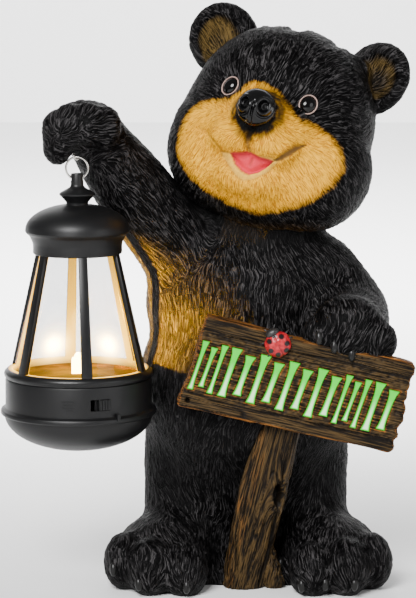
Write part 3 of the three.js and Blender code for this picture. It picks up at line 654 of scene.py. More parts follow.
def paint_head(head):
    """Stores how strongly each colour lies on the head."""
    local = in_head(points(head))
    x, y, z = local.T
    front = smooth(0, -16, y)
    wobble = 0.8 * noise(local / 5, 5) + 0.4 * noise(local / 2.2, 9)
    face = outline_distance(x, z, FACE_OUTLINE) + wobble
    store(head, "tan", smooth(3.5, -6.0, face) * front)
    inner = np.zeros(len(x))
    for side, cup in EARS.items():
        middle = (-1.5, -5.5, -2.5) if side < 0 else (1.0, -5.5, -0.5)
        ear = (local - np.array(EAR_PLACES[side]) - np.array(middle)) @ np.array(cup)
        reach = np.hypot(ear[:, 0] / 14.5, ear[:, 2] / 17.5) + 0.06 * noise(local / 4, 6)
        shade = 1.0 if side < 0 else 0.65
        fade = shade * smooth(1.1, 0.55, reach) * smooth(7, 2, np.abs(ear[:, 1] + 1))
        inner = np.maximum(inner, fade)
    store(head, "ear", inner)
    mouth = outline_distance(x, z, MOUTH)
    philtrum = outline_distance(x, z, PHILTRUM, closed=False)
    lip = smooth(0.6, -0.8, outline_distance(x, z, LIP)) * front
    tongue = smooth(0.1, -0.5, mouth) * front
    shade = smile_shade(x, z)
    store(head, "lip", 0.7 * lip)
    store(head, "tongue", tongue)
    # Painted shade: a shadow under the upper lip along the top of the mouth, and shade in the
    # tongue's crease, down the philtrum and along the lower lip's crease.
    crease = outline_distance(x, z, TONGUE_CREASE, closed=False)
    dark = 0.35 * smooth(-2.2, -0.2, mouth) * smooth(-24, -21, z) * tongue
    dark += 0.45 * smooth(0.9, 0.1, crease)
    drop = smooth(-5, -18, z)
    crease_shade = smooth(5.5 - 4.0 * drop, 0.3, philtrum) * (1 - 0.2 * drop) * smooth(-0.2, 0.4, mouth)
    edge = 0.3 * smooth(1.0, 0.2, np.abs(outline_distance(x, z, LIP))) * smooth(0.5, 2.5, mouth)
    store(head, "crease_shade", np.max([shade, dark, crease_shade, edge], axis=0) * front)
    store(head, "bare", np.maximum(np.maximum(tongue, lip), 0.7 * shade) * front)
    nose = np.hypot((x - 0.2) / 15, (z - 4.0) / 15.5) + 0.12 * noise(local / 2.4, 7)
    store(head, "dark_paint_and_shade", smooth(1.25, 0.75, nose) * front)


def cub_head():
    head = head_form()
    carve_face(head)
    local = in_head(points(head))
    x, y, z = local.T
    front = smooth(-10, -30, y)
    calm = 1 - 0.45 * smooth(30, 8, np.hypot(x, z + 2)) * front
    bare = smooth(-1, 2.0, outline_distance(x, z, LIP)) * (1 - smile_shade(x, z))
    keep = calm * (1 - front * (1 - bare))
    flow = comb(head, head_hair, 0.6, 1)
    relief = tufted(head, flow, 7.5, 2.4, 0.5, 3600, 3, keep)
    store(head, "relief", relief)
    store(head, "flow", flow)
    paint_head(head)
    return finished(head, "statue", "painted_resin", FUR)


# The body with its limbs


def body_form():
    masses = [
        egg(at(0, 0, 112), BELLY_RADII),
        egg(at(-3, 2, 162), (58, 51, 48)),
        egg(at(-1, 12, 72), (59.5, 52.5, 48.5)),
        *limb(at(4, 4, 190), at(12, 2, 226), 36, 32),
        egg(at(37, -2, 178), (29, 29, 27)),
        egg(at(-28, 4, 214), (13, 16, 13)),
        *limb(at(43, -4, 178), ELBOW, 24.3, 22.3),
        *limb(ELBOW, PAW, 22.3, 20.3),
        *limb(SHOULDER, WRIST, 24.3, 21.5),
        *limb(WRIST, FIST, 21.5, 15.3),
        egg(FIST, (20.3, 17.3, 14.3)),
        egg(at(0, 62, 66), (14, 15, 13)),
        egg(at(8, -40, 122), (46, 24, 24), turn(12, "Y")),
        egg(at(2, -6, 0), (50, 46, 15)),
    ]
    for side in (-1, 1):
        masses += limb(at(28 * side - 1, 6, 74), at(30 * side - 1, 5, 24), 33.3, 30.3)
        masses.append(egg(FEET[side], (29.5, 42.5, 24.5), SPLAY[side]))
    body = skinned(joined("cub_body", masses), 3.0, 44, 1.1)
    digits = []
    for side in (-1, 1):
        for (x, y, z), radii in TOES:
            place = FEET[side] + SPLAY[side] @ at(side * x, y, z)
            digits.append(egg(place, radii, SPLAY[side]))
    digits.append(egg(PAW + at(-3, -3, 5), (20.5, 19, 18.5)))
    digits += [egg(PAW + at(*place), radii) for place, radii in BOARD_FINGERS]
    digits += [egg(FIST + at(*place), radii) for place, radii in FIST_FINGERS]
    body = skinned(joined("cub_body", [body, *digits]), 1.9, 12, 0.3)
    skinned(body, BODY_CELL, 2)
    with editing(body):
        bpy.ops.mesh.bisect(
            plane_co=(0, 0, 0), plane_no=(0, 0, 1), clear_inner=True, use_fill=True
        )
    return body


def body_hair(co):
    """Down the body and the legs, along the arms and forward over the feet."""
    flow = np.tile([0.0, -0.05, -1.0], (len(co), 1))
    flow[:, 0] += 0.25 * noise(co / 40, 8)
    for start, end, radius in (
        (SHOULDER, WRIST, 24),
        (WRIST, FIST, 20),
        (at(43, -4, 178), ELBOW, 24),
        (ELBOW, PAW, 21),
    ):
        share = smooth(radius + 14, radius + 4, axis_distance(co, start, end))[:, None]
        flow = flow * (1 - share) + np.array((end - start).normalized()) * share
    for place, reach in ((FIST, 26), (PAW + at(0, -8, 0), 22)):
        share = smooth(reach + 8, reach - 6, np.linalg.norm(co - mm(place), axis=1))[:, None]
        flow = flow * (1 - share) + np.array([-0.2, -0.6, -0.6]) * share
    feet = (smooth(44, 26, co[:, 2]) * smooth(5, -15, co[:, 1]))[:, None]
    return flow * (1 - feet) + np.array([0, -0.75, -0.8]) * feet


def cub_body():
    body = body_form()
    co = points(body)
    keep = smooth(0.2, 3, co[:, 2])
    flow = comb(body, body_hair, 0.75, 2)
    relief = tufted(body, flow, 8.5, 2.5, 0.6, 9500, 4, keep)
    store(body, "relief", relief)
    store(body, "flow", flow)
    for name in ("tan", "ear", "lip", "tongue", "crease_shade", "bare"):
        store(body, name, np.zeros(len(co)))
    # Painted shade: darker under the chin, and on the legs below the board.
    chin_shade = smooth(76, 60, np.linalg.norm(co - mm(HEAD), axis=1))
    leg_shade = smooth(140, 118, co[:, 2]) * smooth(34, 60, co[:, 2])
    store(body, "dark_paint_and_shade", np.maximum(0.85 * chin_shade, 0.5 * leg_shade))
    return finished(body, "statue", "painted_resin", FUR, "bear_statue")


CLAWS = [
    (-79.0, 14.5), (-64.1, 8.6), (-36.4, 7.4), (19.0, 11.6), (30.2, 7.5), (43.7, 8.6), (60.6, 8.8),
]
PAW_CLAWS = [(39.6, 151.8), (48.3, 147), (58.3, 142.4)]


def claws(body):
    horn = Finish("claw_paint", Roughness=0.32, Specular_IOR_Level=0.25)
    horn.set(Base_Color=(0.007, 0.0068, 0.0065))
    parts = []
    for x, z in [*CLAWS, *PAW_CLAWS]:
        hit, place, *_ = body.ray_cast(at(x, -150, z), Vector((0, 1, 0)))
        if hit:
            parts.append(egg(place + at(0, 0.9, 0), (2.3, 2.6, 4.4), turn(-14, "X"), 24, 16))
    finished(joined("claws", parts), "statue", "painted_resin", horn.material)


head = cub_head()
body = cub_body()
claws(body)


def on_face(x, z, sink=0.0):
    """The point of the head's skin straight in front of a point of its middle plane."""
    _, place, *_ = head.ray_cast(on_head(x, -120, z), HEAD_TURN @ Vector((0, 1, 0)))
    return place + HEAD_TURN @ at(0, sink, 0)


# Eyes and nose

NOSE_X = 0.1
NOSE_Z = 6.0
EYE_SPOTS = {-1: (-23.4, 16.4), 1: (22.4, 16.6)}
EYE_TILT = turn(28, "Y")


def eye_material():
    finish = Finish("eye_gloss", Roughness=0.06, Specular_IOR_Level=0.3)
    finish.set(Base_Color=(0.0012, 0.001, 0.001))
    return finish.material


def eyes():
    gloss = eye_material()
    lid = Finish("eye_rim", Roughness=0.45)
    lid.set(Base_Color=(0.30, 0.20, 0.17))
    for side, (x, z) in EYE_SPOTS.items():
        name = "left" if side < 0 else "right"
        rotation = HEAD_TURN @ turn(22 * side, "Z") @ turn(-8, "X")
        centre = on_face(x, z, 1.2)
        ball = egg(centre, (5.0, 4.0, 5.5), rotation @ EYE_TILT, 48, 32)
        ball.name = f"eye_{name}"
        finished(ball, "statue", "painted_resin", gloss)
        ring = wire_ring(1 / MM, 0.075 / MM, 64)
        place = centre + rotation @ at(0, -1.9, 0)
        rim = settled(ring, place, rotation @ EYE_TILT @ turn(90, "X"), at(5.0, 5.7, 7))
        rim.name = f"eye_rim_{name}"
        finished(rim, "statue", "painted_resin", lid.material)


def nose():
    """A glossy nose with a pair of curled nostrils and a ridge between them."""
    ball = egg(on_face(NOSE_X, NOSE_Z, 3.2), (11.2, 9.6, 11.0), HEAD_TURN @ turn(-6, "X"))
    nose_ = skinned(joined("nose", [ball]), 0.4, 3)
    local = in_head(points(nose_))
    x, y, z = (local - np.array([NOSE_X, 0, NOSE_Z])).T
    sink = np.zeros(len(x))
    front = smooth(-63, -68, y)
    for side, (px, pz) in {-1: (-5.8, 0.6), 1: (5.6, 1.2)}.items():
        u, w = (x - px) * side, z - pz
        away = np.hypot(u, w / 1.3)
        angle = np.arctan2(w / 1.3, u)
        sink += 3.4 * smooth(3.0, 1.5, away) - 0.9 * np.exp(-(((away - 3.6) / 0.6) ** 2))
        curl = smooth(1.2, 0.4, angle) * smooth(-2.6, -1.8, angle)
        sink += 1.6 * np.exp(-(((away - 4.8) / 0.6) ** 2)) * curl
    sink += 1.0 * np.exp(-((x / 0.5) ** 2)) * smooth(4, 1, z)
    sink -= 0.7 * np.exp(-(((np.abs(x) - 1.3) / 0.6) ** 2)) * smooth(5, 2, z) * smooth(-8, -5, z)
    local[:, 1] += sink * front
    move_points(nose_, from_head(local))
    finish = Finish("nose_gloss", Roughness=0.15, Specular_IOR_Level=0.32)
    finish.set(Base_Color=(0.0015, 0.0015, 0.0016))
    finish.bumped(finish.clouds(finish.place(), 0.9), 0.05, 0.5)
    finished(nose_, "statue", "painted_resin", finish.material)


eyes()
nose()

# The board, its glowing strokes, the post and the ladybird

BOARD_CENTRE = at(27.2, -67, 123.4)
BOARD_LEAN = 13.6
BOARD_TURN = turn(BOARD_LEAN, "Y")
BOARD_HEIGHT = 55.5
BOARD_THICKNESS = 12
BOARD_OUTLINE = [
    (-60.2, 27.8), (-60.8, 18.6), (-61.2, 9.7), (-61.4, -4.4), (-63.2, -14.1), (-65, -24),
    (-64, -27.2), (-50.8, -26.8), (-14.5, -26.2), (7.8, -26.4), (37, -25.4), (60.6, -25.6),
    (63.2, -22.4), (61.4, -17.5), (64, -14.5), (61.4, -11), (63.2, -8), (64.4, -4), (63.2, -1),
    (64.4, 2), (61.8, 5.4), (63.4, 8.4), (62, 12), (63.2, 15), (62, 19.1), (64, 23),
    (63.4, 26.6), (61.2, 28.6), (53.3, 29), (36.4, 28.2), (21.4, 27.4), (3.9, 26.8),
    (-10.9, 26.8), (-25.9, 27.7), (-43.6, 28.1),
]
ROW_START = -61.0
ROW_LENGTH = 118.8
ROW_LEVEL = -1.2
GROUP_STROKES = [3, 2, 2, 2, 2, 3, 2]


def on_board(along, out, up):
    return BOARD_CENTRE + BOARD_TURN @ at(along, -BOARD_THICKNESS / 2 - out, up)


def in_board(co):
    """Along the board, out of its middle plane and up it, in millimetres."""
    return (co - mm(BOARD_CENTRE)) @ np.array(BOARD_TURN)


def stroke_outline(x, lean, length, width):
    """A slanting bar whose ends flare."""
    tip = length / 2
    rise = np.linspace(-1, 1, 9)
    left, right = [], []
    for share in rise:
        middle = x + lean * share
        flare = 0.27 + (0.23 if share > 0 else 0.15) * abs(share) ** 4
        left.append((middle - width * flare, tip * share))
        right.append((middle + width * flare, tip * share))
    return right + left[::-1]


def strokes():
    """Groups of two or three slanting strokes along the board."""
    pitch = ROW_LENGTH / len(GROUP_STROKES)
    outlines = []
    for group, count in enumerate(GROUP_STROKES):
        for k in range(count):
            x = ROW_START + (group + (k + 0.5) / count) * pitch
            length = BOARD_HEIGHT * (0.53 if k % 2 == 0 else 0.435)
            outlines.append(stroke_outline(x, pitch * 0.08, length, 0.76 * pitch / count))
    return [[(u, v + ROW_LEVEL) for u, v in outline] for outline in outlines]


def stroke_distance(u, v):
    return np.min([outline_distance(u, v, outline) for outline in strokes()], axis=0)


def plate(name, outline, thickness):
    """A flat piece in the XZ plane, with its middle plane at Y = 0."""
    add = bpy.ops.mesh.primitive_circle_add
    obj = fresh(add, vertices=len(outline), radius=1, fill_type="NGON")
    obj.name = name
    for vertex, (u, v) in zip(obj.data.vertices, outline):
        vertex.co = at(u, 0, v)
    obj.data.update()
    faced_out(obj)
    changed(obj, "SOLIDIFY", thickness=thickness * MM, offset=0.0)
    return faced_out(obj)


def streaks(along, across, depth, length, width, seed):
    return noise(np.stack([along / length, across / width, depth / width], 1), seed)


def grain(along, across, depth, seed):
    """Ridges and cracks along the wood."""
    across = across + 1.6 * streaks(along, across, depth, 26, 14, seed)
    broad = streaks(along, across, depth, 24, 1.5, seed + 1)
    fine = streaks(along, across, depth, 12, 0.85, seed + 2)
    crack = np.abs(streaks(along, across, depth, 50, 4.6, seed + 3))
    return 0.55 * broad + 0.35 * fine - 0.9 * smooth(0.08, 0.0, crack)


def wood_material():
    finish = Finish("carved_wood", Specular_IOR_Level=0.12)
    place = finish.direction("wood")

    def stretched(length, width, detail):
        scale = (1 / length, 1 / width, 1 / width)
        return finish.clouds(place.vector("MULTIPLY", place, scale), 1.0, detail)

    lines = stretched(20, 0.85, 1.5)
    hair = stretched(7, 0.45, 1.0)
    blotch = stretched(12, 5, 2.0)
    height = lines * 0.7 + hair * 0.3 + finish.value("relief") * 0.12
    ridge = height.ramp(0.40, 0.64)
    dark = (0.0035, 0.002, 0.0008)
    brown = ridge.colours(dark, (0.064, 0.038, 0.013))
    gold = ridge.colours(dark, (0.25, 0.090, 0.014))
    # The wood turns gold on blotches and ridges, near the board's edges and in the painted glow
    # around the strokes.
    warm = (blotch * 0.6 + finish.value("gold_and_glow") * 0.7 + height * 0.3).ramp(0.62, 1.15)
    finish.set(Base_Color=warm.colours(brown, gold))
    finish.set(Roughness=0.55)
    finish.bumped(height, 1.6, 1.0)
    return finish.material


WOOD = wood_material()


def board():
    obj = plate("board", BOARD_OUTLINE, BOARD_THICKNESS)
    changed(obj, "BEVEL", width=1.6 * MM, segments=2, limit_method="ANGLE")
    settled(obj, BOARD_CENTRE, BOARD_TURN)
    skinned(obj, 0.62, 2)
    co, normal = points(obj), normals(obj)
    u, out, v = in_board(co).T
    sunk = stroke_distance(u, v)
    front = smooth(4.2, 5.4, -out)
    panel = smooth(-19.5, -17.5, v) * smooth(21, 18.5, v) * smooth(-59, -57, u) * smooth(61, 58, u)
    lines = grain(u, v, out, 20)
    stipple = noise(np.stack([u / 1.5, v / 1.1, out / 3], 1), 24)
    relief = lines * (1 - 0.6 * panel * front) + 0.7 * stipple * panel * front
    for level, seed in ((-18.6, 27), (19.6, 28)):
        split = v - level - 1.2 * streaks(u, v * 0, out, 20, 20, seed)
        relief -= 1.3 * np.exp(-((split / 0.5) ** 2)) * front
    nail = smooth(1.7, 0.7, np.hypot(u + 59.4, v + 22.3))
    calm = smooth(-0.3, 0.8, sunk)
    lift = 0.62 * relief * (1 - front + front * calm) - 0.5 * panel * front - 2.5 * nail * front
    lift -= 1.5 * (1 - calm) * front
    move_points(obj, co + normal * lift[:, None])
    rim = smooth(2.2, 0.4, -outline_distance(u, v, BOARD_OUTLINE))
    glow = smooth(2.0, 0.4, sunk) * front
    store(obj, "relief", relief - 2 * nail)
    store(obj, "wood", np.stack([u, v, out], 1))
    # Lighter near the board's edges, and a painted glow on the wood around the glowing strokes.
    store(obj, "gold_and_glow", np.maximum(0.75 * rim, 0.8 * glow))
    finished(obj, "statue", "painted_resin", WOOD, "bear_statue")


def stroke_material():
    finish = Finish("glowing_strokes", Roughness=0.6)
    share = finish.value("height")
    edge = finish.value("edge")
    rim = edge.ramp(0.1, 0.6).colours((0.0, 0.22, 0.0), (0.005, 0.68, 0.0))
    shade = (share.ramp(0.75, 0.2) * edge.ramp(0.3, 0.9)).colours(rim, (1.0, 1.35, 0.85))
    finish.set(Base_Color=(0.01, 0.2, 0.0), Emission_Color=shade, Emission_Strength=1.5)
    return finish.material


def stroke_inlays():
    obj = joined("board_strokes", [plate("stroke", outline, 1.0) for outline in strokes()])
    settled(obj, on_board(0, -1.0, 0), BOARD_TURN)
    changed(obj, "REMESH", mode="VOXEL", voxel_size=0.35 * MM)
    u, _, v = in_board(points(obj)).T
    store(obj, "edge", np.clip(-stroke_distance(u, v) / 1.6, 0, 1))
    store(obj, "height", (v - ROW_LEVEL) / 30 + 0.5)
    finished(obj, "statue", "painted_resin", stroke_material(), sharp=40)


# The post's middle as X and Z, and its width
POST_AXIS = [
    (24.0, 118, 20.5), (18.6, 97, 22.0), (11.6, 72, 26), (7.6, 57, 28.0), (4.9, 45, 27.5),
    (1.6, 28, 26.5), (-1.6, 12, 25.0), (-3.2, 0, 24.0),
]


def post_middle(z):
    """The Y of the post's middle at this height."""
    return -59 + 8 * (118 - z) / 118


def post():
    """The post under the board, leaning, with a knot hole, a splinter and a root."""
    parts = []
    for (x0, z0, w0), (x1, z1, w1) in zip(POST_AXIS, POST_AXIS[1:]):
        start, end = at(x0, post_middle(z0), z0), at(x1, post_middle(z1), z1)
        parts.append(shaft(start, end, w0 / 2, w1 / 2, 32, 2))
    parts += limb(at(9, -50, 22), at(15, -54, 3), 6.5, 6)
    obj = joined("post", parts)
    co = points(obj)
    middle = post_middle(co[:, 2])
    co[:, 1] = middle + (co[:, 1] - middle) * 0.66
    co[:, 2] = np.maximum(co[:, 2], 0)
    move_points(obj, co)
    skinned(obj, 0.75, 5)
    co, normal = points(obj), normals(obj)
    x, y, z = co.T
    lean = math.radians(BOARD_LEAN)
    along = z * math.cos(lean) + x * math.sin(lean)
    across = x * math.cos(lean) - z * math.sin(lean)
    knot = np.hypot((x - 16.9) / 1.0, (z - 57) / 2.6)
    swirl = across + 5.5 * np.exp(-((knot / 5) ** 2)) * np.sign(across - 3)
    relief = grain(along, swirl, y, 40)
    groove = np.abs(across - 4.2 - 1.5 * streaks(along, y * 0, y * 0, 22, 22, 41))
    relief -= 1.0 * smooth(1.1, 0.2, groove) * smooth(-50, -56, y)
    front = smooth(-0.1, -0.5, normal[:, 1])
    hole = smooth(2.9, 1.9, knot) * front
    ledge = np.exp(-(((knot - 3.9) / 0.9) ** 2)) * front
    lift = 0.95 * relief * (1 - hole) - 5.0 * hole + 0.9 * ledge
    flat = smooth(0.3, 2, z)
    co = co + normal * (lift * flat)[:, None]
    co[:, 2] = np.maximum(co[:, 2], 0)
    move_points(obj, co)
    store(obj, "relief", relief - 3 * hole)
    store(obj, "wood", np.stack([along, swirl, y], 1))
    edge = smooth(-9, -12.5, across - 1.2) * front
    store(obj, "gold_and_glow", 0.45 * smooth(0.3, 1.0, relief) + 0.6 * edge - 0.25 - hole)
    finished(obj, "statue", "painted_resin", WOOD)


LADYBIRD_SPOTS = [
    (-3.6, 4.0), (3.8, 3.6), (-5.2, -1.2), (5.0, -1.4), (-2.4, -4.9), (2.9, -4.9), (0.2, 6.2),
]


def ladybird():
    seat = on_board(-16.7, 0.2, 21.5)
    turned_ = BOARD_TURN @ turn(-40, "Y")
    shell = skinned(joined("ladybird", [egg(seat, (7.6, 5.4, 7.6), turned_)]), 0.4, 1)
    local = (points(shell) - mm(seat)) @ np.array(turned_)
    x, y, z = local.T
    black = np.zeros(len(x))
    for u, v in LADYBIRD_SPOTS:
        black = np.maximum(black, smooth(1.8, 1.3, np.hypot(x - u, z - v)))
    seam = smooth(0.55, 0.2, np.abs(x)) * smooth(0, -2, y)
    lump = 0.35 * noise(local / 2.4, 50)
    move_points(shell, points(shell) + normals(shell) * (lump - 0.35 * seam)[:, None])
    store(shell, "black", np.maximum(black, 0.35 * seam))
    finish = Finish("ladybird_paint", Roughness=0.3, Specular_IOR_Level=0.35)
    blotch = finish.clouds(finish.place(), 2.2).ramp(0.35, 0.7)
    red = blotch.colours((0.26, 0.004, 0.009), (0.48, 0.018, 0.026))
    finish.set(Base_Color=finish.value("black").colours(red, (0.008, 0.006, 0.006)))
    finished(shell, "statue", "painted_resin", finish.material)
    dark = Finish("ladybird_head", Roughness=0.4)
    dark.set(Base_Color=(0.012, 0.011, 0.011))

    def on_shell(u, out, v):
        return seat + turned_ @ at(u, -out, v)

    parts = [egg(on_shell(0, 0.8, 7.4), (4.2, 3.2, 2.6), turned_, 24, 16)]
    for side in (-1, 1):
        parts += limb(on_shell(1.4 * side, 1.6, 9), on_shell(3.2 * side, 2.4, 11.2), 0.45, 0.35)
        for height in (3.6, 0, -3.4):
            start = on_shell(6.2 * side, -0.6, height)
            parts += limb(start, on_shell(9.0 * side, -1.2, height * 1.25), 0.6, 0.4)
    finished(joined("ladybird_head", parts), "statue", "painted_resin", dark.material)


board()
stroke_inlays()
post()
ladybird()


# The lantern

AXIS = at(HANG.x / MM, HANG.y / MM, 0)
DECK = 126.88  # the top of the housing
HOUSING_RADIUS = 42.4
CLEARANCE = 0.3
RIB_COUNT = 6
RIB_THICKNESS = 3.2
RIB_FOOT_RADIUS = 41.4
RIB_TOP_RADIUS = 25.3
CAGE_HEIGHT = 68.6
GLASS_THICKNESS = 1.5
BOWL_TOP = 105.08
DOME_FOOT = 212.48
WIRE_RADIUS = 0.6
SWITCH_TURN = turn(20, "Z")
SWITCH_LEVEL = 116.62
GLOW_PLACE = (-8, -4, 144)


def on_axis(x, y, z):
    return AXIS + at(x, y, z)


def around(rotation, x, y, z):
    """A place given for the lantern's front and turned about its axis."""
    return on_axis(*(rotation @ Vector((x, y, z))))


def turned(name, profile, steps=96):
    """A closed outline of radius and height pairs, swept about the lantern's axis."""
    add = bpy.ops.mesh.primitive_circle_add
    obj = fresh(add, vertices=len(profile), radius=1, fill_type="NOTHING")
    obj.name = name
    for vertex, (radius, z) in zip(obj.data.vertices, profile):
        vertex.co = at(radius, 0, z)
    changed(
        obj, "SCREW", steps=steps, render_steps=steps, use_merge_vertices=True,
        merge_threshold=0.01 * MM, use_smooth_shade=True,
    )
    with editing(obj):
        bpy.ops.mesh.remove_doubles(threshold=0.01 * MM)
        bpy.ops.mesh.dissolve_degenerate(threshold=0.001 * MM)
    faced_out(obj)
    return settled(obj, AXIS)


def arc(count, start, end, radius, rise, level):
    """Points of a profile along part of an ellipse about the axis."""
    angles = np.linspace(start, end, count + 1)
    return [(radius * math.cos(a), level + rise * math.sin(a)) for a in angles]


def satin(name, roughness):
    finish = Finish(name, Roughness=roughness, Specular_IOR_Level=0.3)
    finish.set(Base_Color=(0.0035, 0.0035, 0.0038))
    finish.bumped(finish.clouds(finish.place(), 0.8), 0.03, 0.5)
    return finish


SATIN = satin("satin_black", 0.43).material
LAMP = AXIS + at(0, 0, 136)


def glow_from_lamp(finish, reach):
    """How strongly the lamp lights a place: 1 at the lamp, fading with the distance."""
    place = finish.place()
    away = place.vector("DISTANCE", place, tuple(LAMP / MM), output=1) / reach
    return 1 / (1 + away * away)


def rib_outer(z):
    """The radius of the ribs' outer faces at this height."""
    return RIB_FOOT_RADIUS - (z - DECK - 3) * (RIB_FOOT_RADIUS - RIB_TOP_RADIUS) / CAGE_HEIGHT


def lantern_cap():
    rise = 14.2 / math.sin(1.3)
    shell = turned("lantern_cap", [
        *arc(16, math.pi / 2, 0, 27, rise - 2, DOME_FOOT),
        (23.7, 211.48), (23.7, 198.48), (25.2, 198.48), (25.7, 199), (25.7, 203.4), (26.0, 205),
        (27.4, 208.2), (28.2, 209.48), (29.0, 209.9), (29.7, 210.6), (30.2, 211.5), (30.1, 212.3),
        *arc(24, 0.05, 1.3, 30, rise, DOME_FOOT),
        (6.4, 226.68), (6.3, 227.5), (6.6, 228.4), (9.4, 231.4), (10.3, 232.2), (10.3, 233.0),
        (9.6, 233.7), (6.5, 235.4), (4.5, 236.6), (3.8, 237.6), (3.7, 238.4), (3.7, 243.6),
        (3.4, 244.4), (2.7, 244.68), (0, 244.68),
    ])
    add = bpy.ops.mesh.primitive_cylinder_add
    bore = fresh(add, vertices=32, radius=1.7 * MM, depth=20 * MM)
    cut(shell, settled(bore, on_axis(0, 0, 241.58), turn(90, "Y")))
    finished(shell, "statue", "black_plastic", SATIN, "lantern_cap", sharp=CREASE_ANGLE)


def lantern_frame():
    low, high = DECK + 0.05, 131.88
    foot = rib_outer(low) - RIB_THICKNESS
    parts = [
        turned("cage_ring", [
            (foot, low), (42.2, low), (42.9, 128.0), (43.1, 129.2), (42.7, 130.4), (41.4, 131.6),
            (40.8, high), (rib_outer(high) - 3.1, high),
        ]),
        turned("roof_ring", [(22.2, 199.1), (23.4, 199.1), (23.4, 205.4), (22.2, 205.4)]),
    ]
    for k in range(RIB_COUNT):
        rib = fresh(bpy.ops.mesh.primitive_cube_add, size=1)
        for vertex in rib.data.vertices:
            x, y, z = vertex.co
            level = DECK + 3 + (z + 0.5) * 71.4
            width = 6.3 - (z + 0.5) * 1.5
            vertex.co = at(x * width, -rib_outer(level) + (y + 0.5) * RIB_THICKNESS, level)
        rib.data.update()
        changed(rib, "BEVEL", width=0.5 * MM, segments=2)
        parts.append(settled(rib, AXIS, turn(10 + 360 / RIB_COUNT * k, "Z")))
    frame_ = joined("lantern_frame", parts)
    x, y, z = (points(frame_) - mm(AXIS)).T
    inner = np.minimum(rib_outer(z) - 2.9, 41.0)
    store(frame_, "inner", smooth(0.3, 0.0, np.hypot(x, y) - inner) * (z > low + 0.1))
    finish = satin("lit_black", 0.36)
    lit = finish.value("inner") * glow_from_lamp(finish, 30)
    finish.set(Emission_Color=lit.colours((0, 0, 0), (1, 0.50, 0.02)))
    finish.set(Emission_Strength=15.0)
    look = finish.material
    finished(frame_, "statue", "black_plastic", look, "lantern_frame", sharp=CREASE_ANGLE)


def lantern_glass():
    low, high = DECK + CLEARANCE, 204.4
    outer = rib_outer(low) - 3.5, rib_outer(high) - 3.5
    pane = turned("lantern_glass", [
        (outer[0] - GLASS_THICKNESS, low), (outer[0], low), (outer[1], high),
        (outer[1] - GLASS_THICKNESS, high),
    ])
    finish = Finish("clear_plastic", Roughness=0.04, Alpha=0.16, Specular_IOR_Level=0.8)
    finish.set(Base_Color=(0.012, 0.010, 0.008))
    place = finish.place()
    glint = 0.0
    for angle in (62, 118):
        spot = turn(angle, "Z") @ at(34.5, 0, 140)
        away = place.vector("DISTANCE", place, tuple((AXIS + spot) / MM), output=1) / 4.6
        glint = glint + 1 / (1 + away ** 3.6) + 0.03 / (1 + away * away * 0.3)
    finish.set(Emission_Color=(glint - 0.006).colours((0, 0, 0), (1, 0.64, 0.18)))
    finish.set(Emission_Strength=190.0)
    finished(pane, "statue", "clear_plastic", finish.material, "lantern_glass", sharp=CREASE_ANGLE)


def lantern_base():
    shell = turned("lantern_base", [
        (0, 124.88), (40.4, 124.88), (40.4, 105.38), (44.6, 105.38), (FLANGE_RADIUS, 106.1),
        (FLANGE_RADIUS, 107.4),
        (44.8, 108.2), (43.2, 108.9), (42.6, 109.4), (42.5, 110.6), (HOUSING_RADIUS, 125.4),
        (42.1, 126.4),
        (41.4, DECK), (0, DECK),
    ])
    window = around(SWITCH_TURN, 0, -HOUSING_RADIUS, SWITCH_LEVEL)
    cut(shell, block(window, (11.6, 12, 6.6), SWITCH_TURN))
    marks = []
    beside = turn(-5, "Z")
    for k, height in enumerate((2.4, 0.8, -0.8, -2.4)):
        place = around(beside, 0, -42.45, SWITCH_LEVEL + height)
        marks.append(block(place, (7.5 - k % 2 * 2, 0.6, 0.55), beside))
    below = turn(33, "Z")
    tab = block(around(below, 0, -44.6, 109.2), (2.2, 2.6, 4.2), below)
    changed(tab, "BEVEL", width=0.4 * MM, segments=2)
    shell = joined("lantern_base", [shell, *marks, tab])
    finished(shell, "statue", "black_plastic", SATIN, "lantern_base", sharp=CREASE_ANGLE)


def battery_cover():
    outer = arc(24, -math.pi / 2, 0, 43.0, 21, BOWL_TOP)
    inner = arc(20, -0.12, -math.pi / 2, 41.0, 19, BOWL_TOP)
    cover = turned("battery_cover", [
        *outer, (40.1, BOWL_TOP), (40.1, 108.5), (38.1, 108.5), (38.1, 104.0), *inner,
    ])
    finished(cover, "statue", "black_plastic", SATIN, "battery_cover", sharp=CREASE_ANGLE)


def switch_slider():
    front = HOUSING_RADIUS + 0.8

    def place(x, y, z):
        return around(SWITCH_TURN, 2.2 + x, y, SWITCH_LEVEL + z)

    parts = [
        block(place(0, -front + 2.8, 0), (6.6, 4.8, 6.0), SWITCH_TURN),
        block(place(0, -38.6, 0), (9.6, 1.5, 9.0), SWITCH_TURN),
    ]
    for k in range(4):
        parts.append(block(place(-2.4 + 1.6 * k, -front + 0.2, 0), (0.8, 0.7, 5.4), SWITCH_TURN))
    slider = joined("switch_slider", parts)
    finished(slider, "switch", "black_plastic", SATIN, "switch_slider", sharp=CREASE_ANGLE)


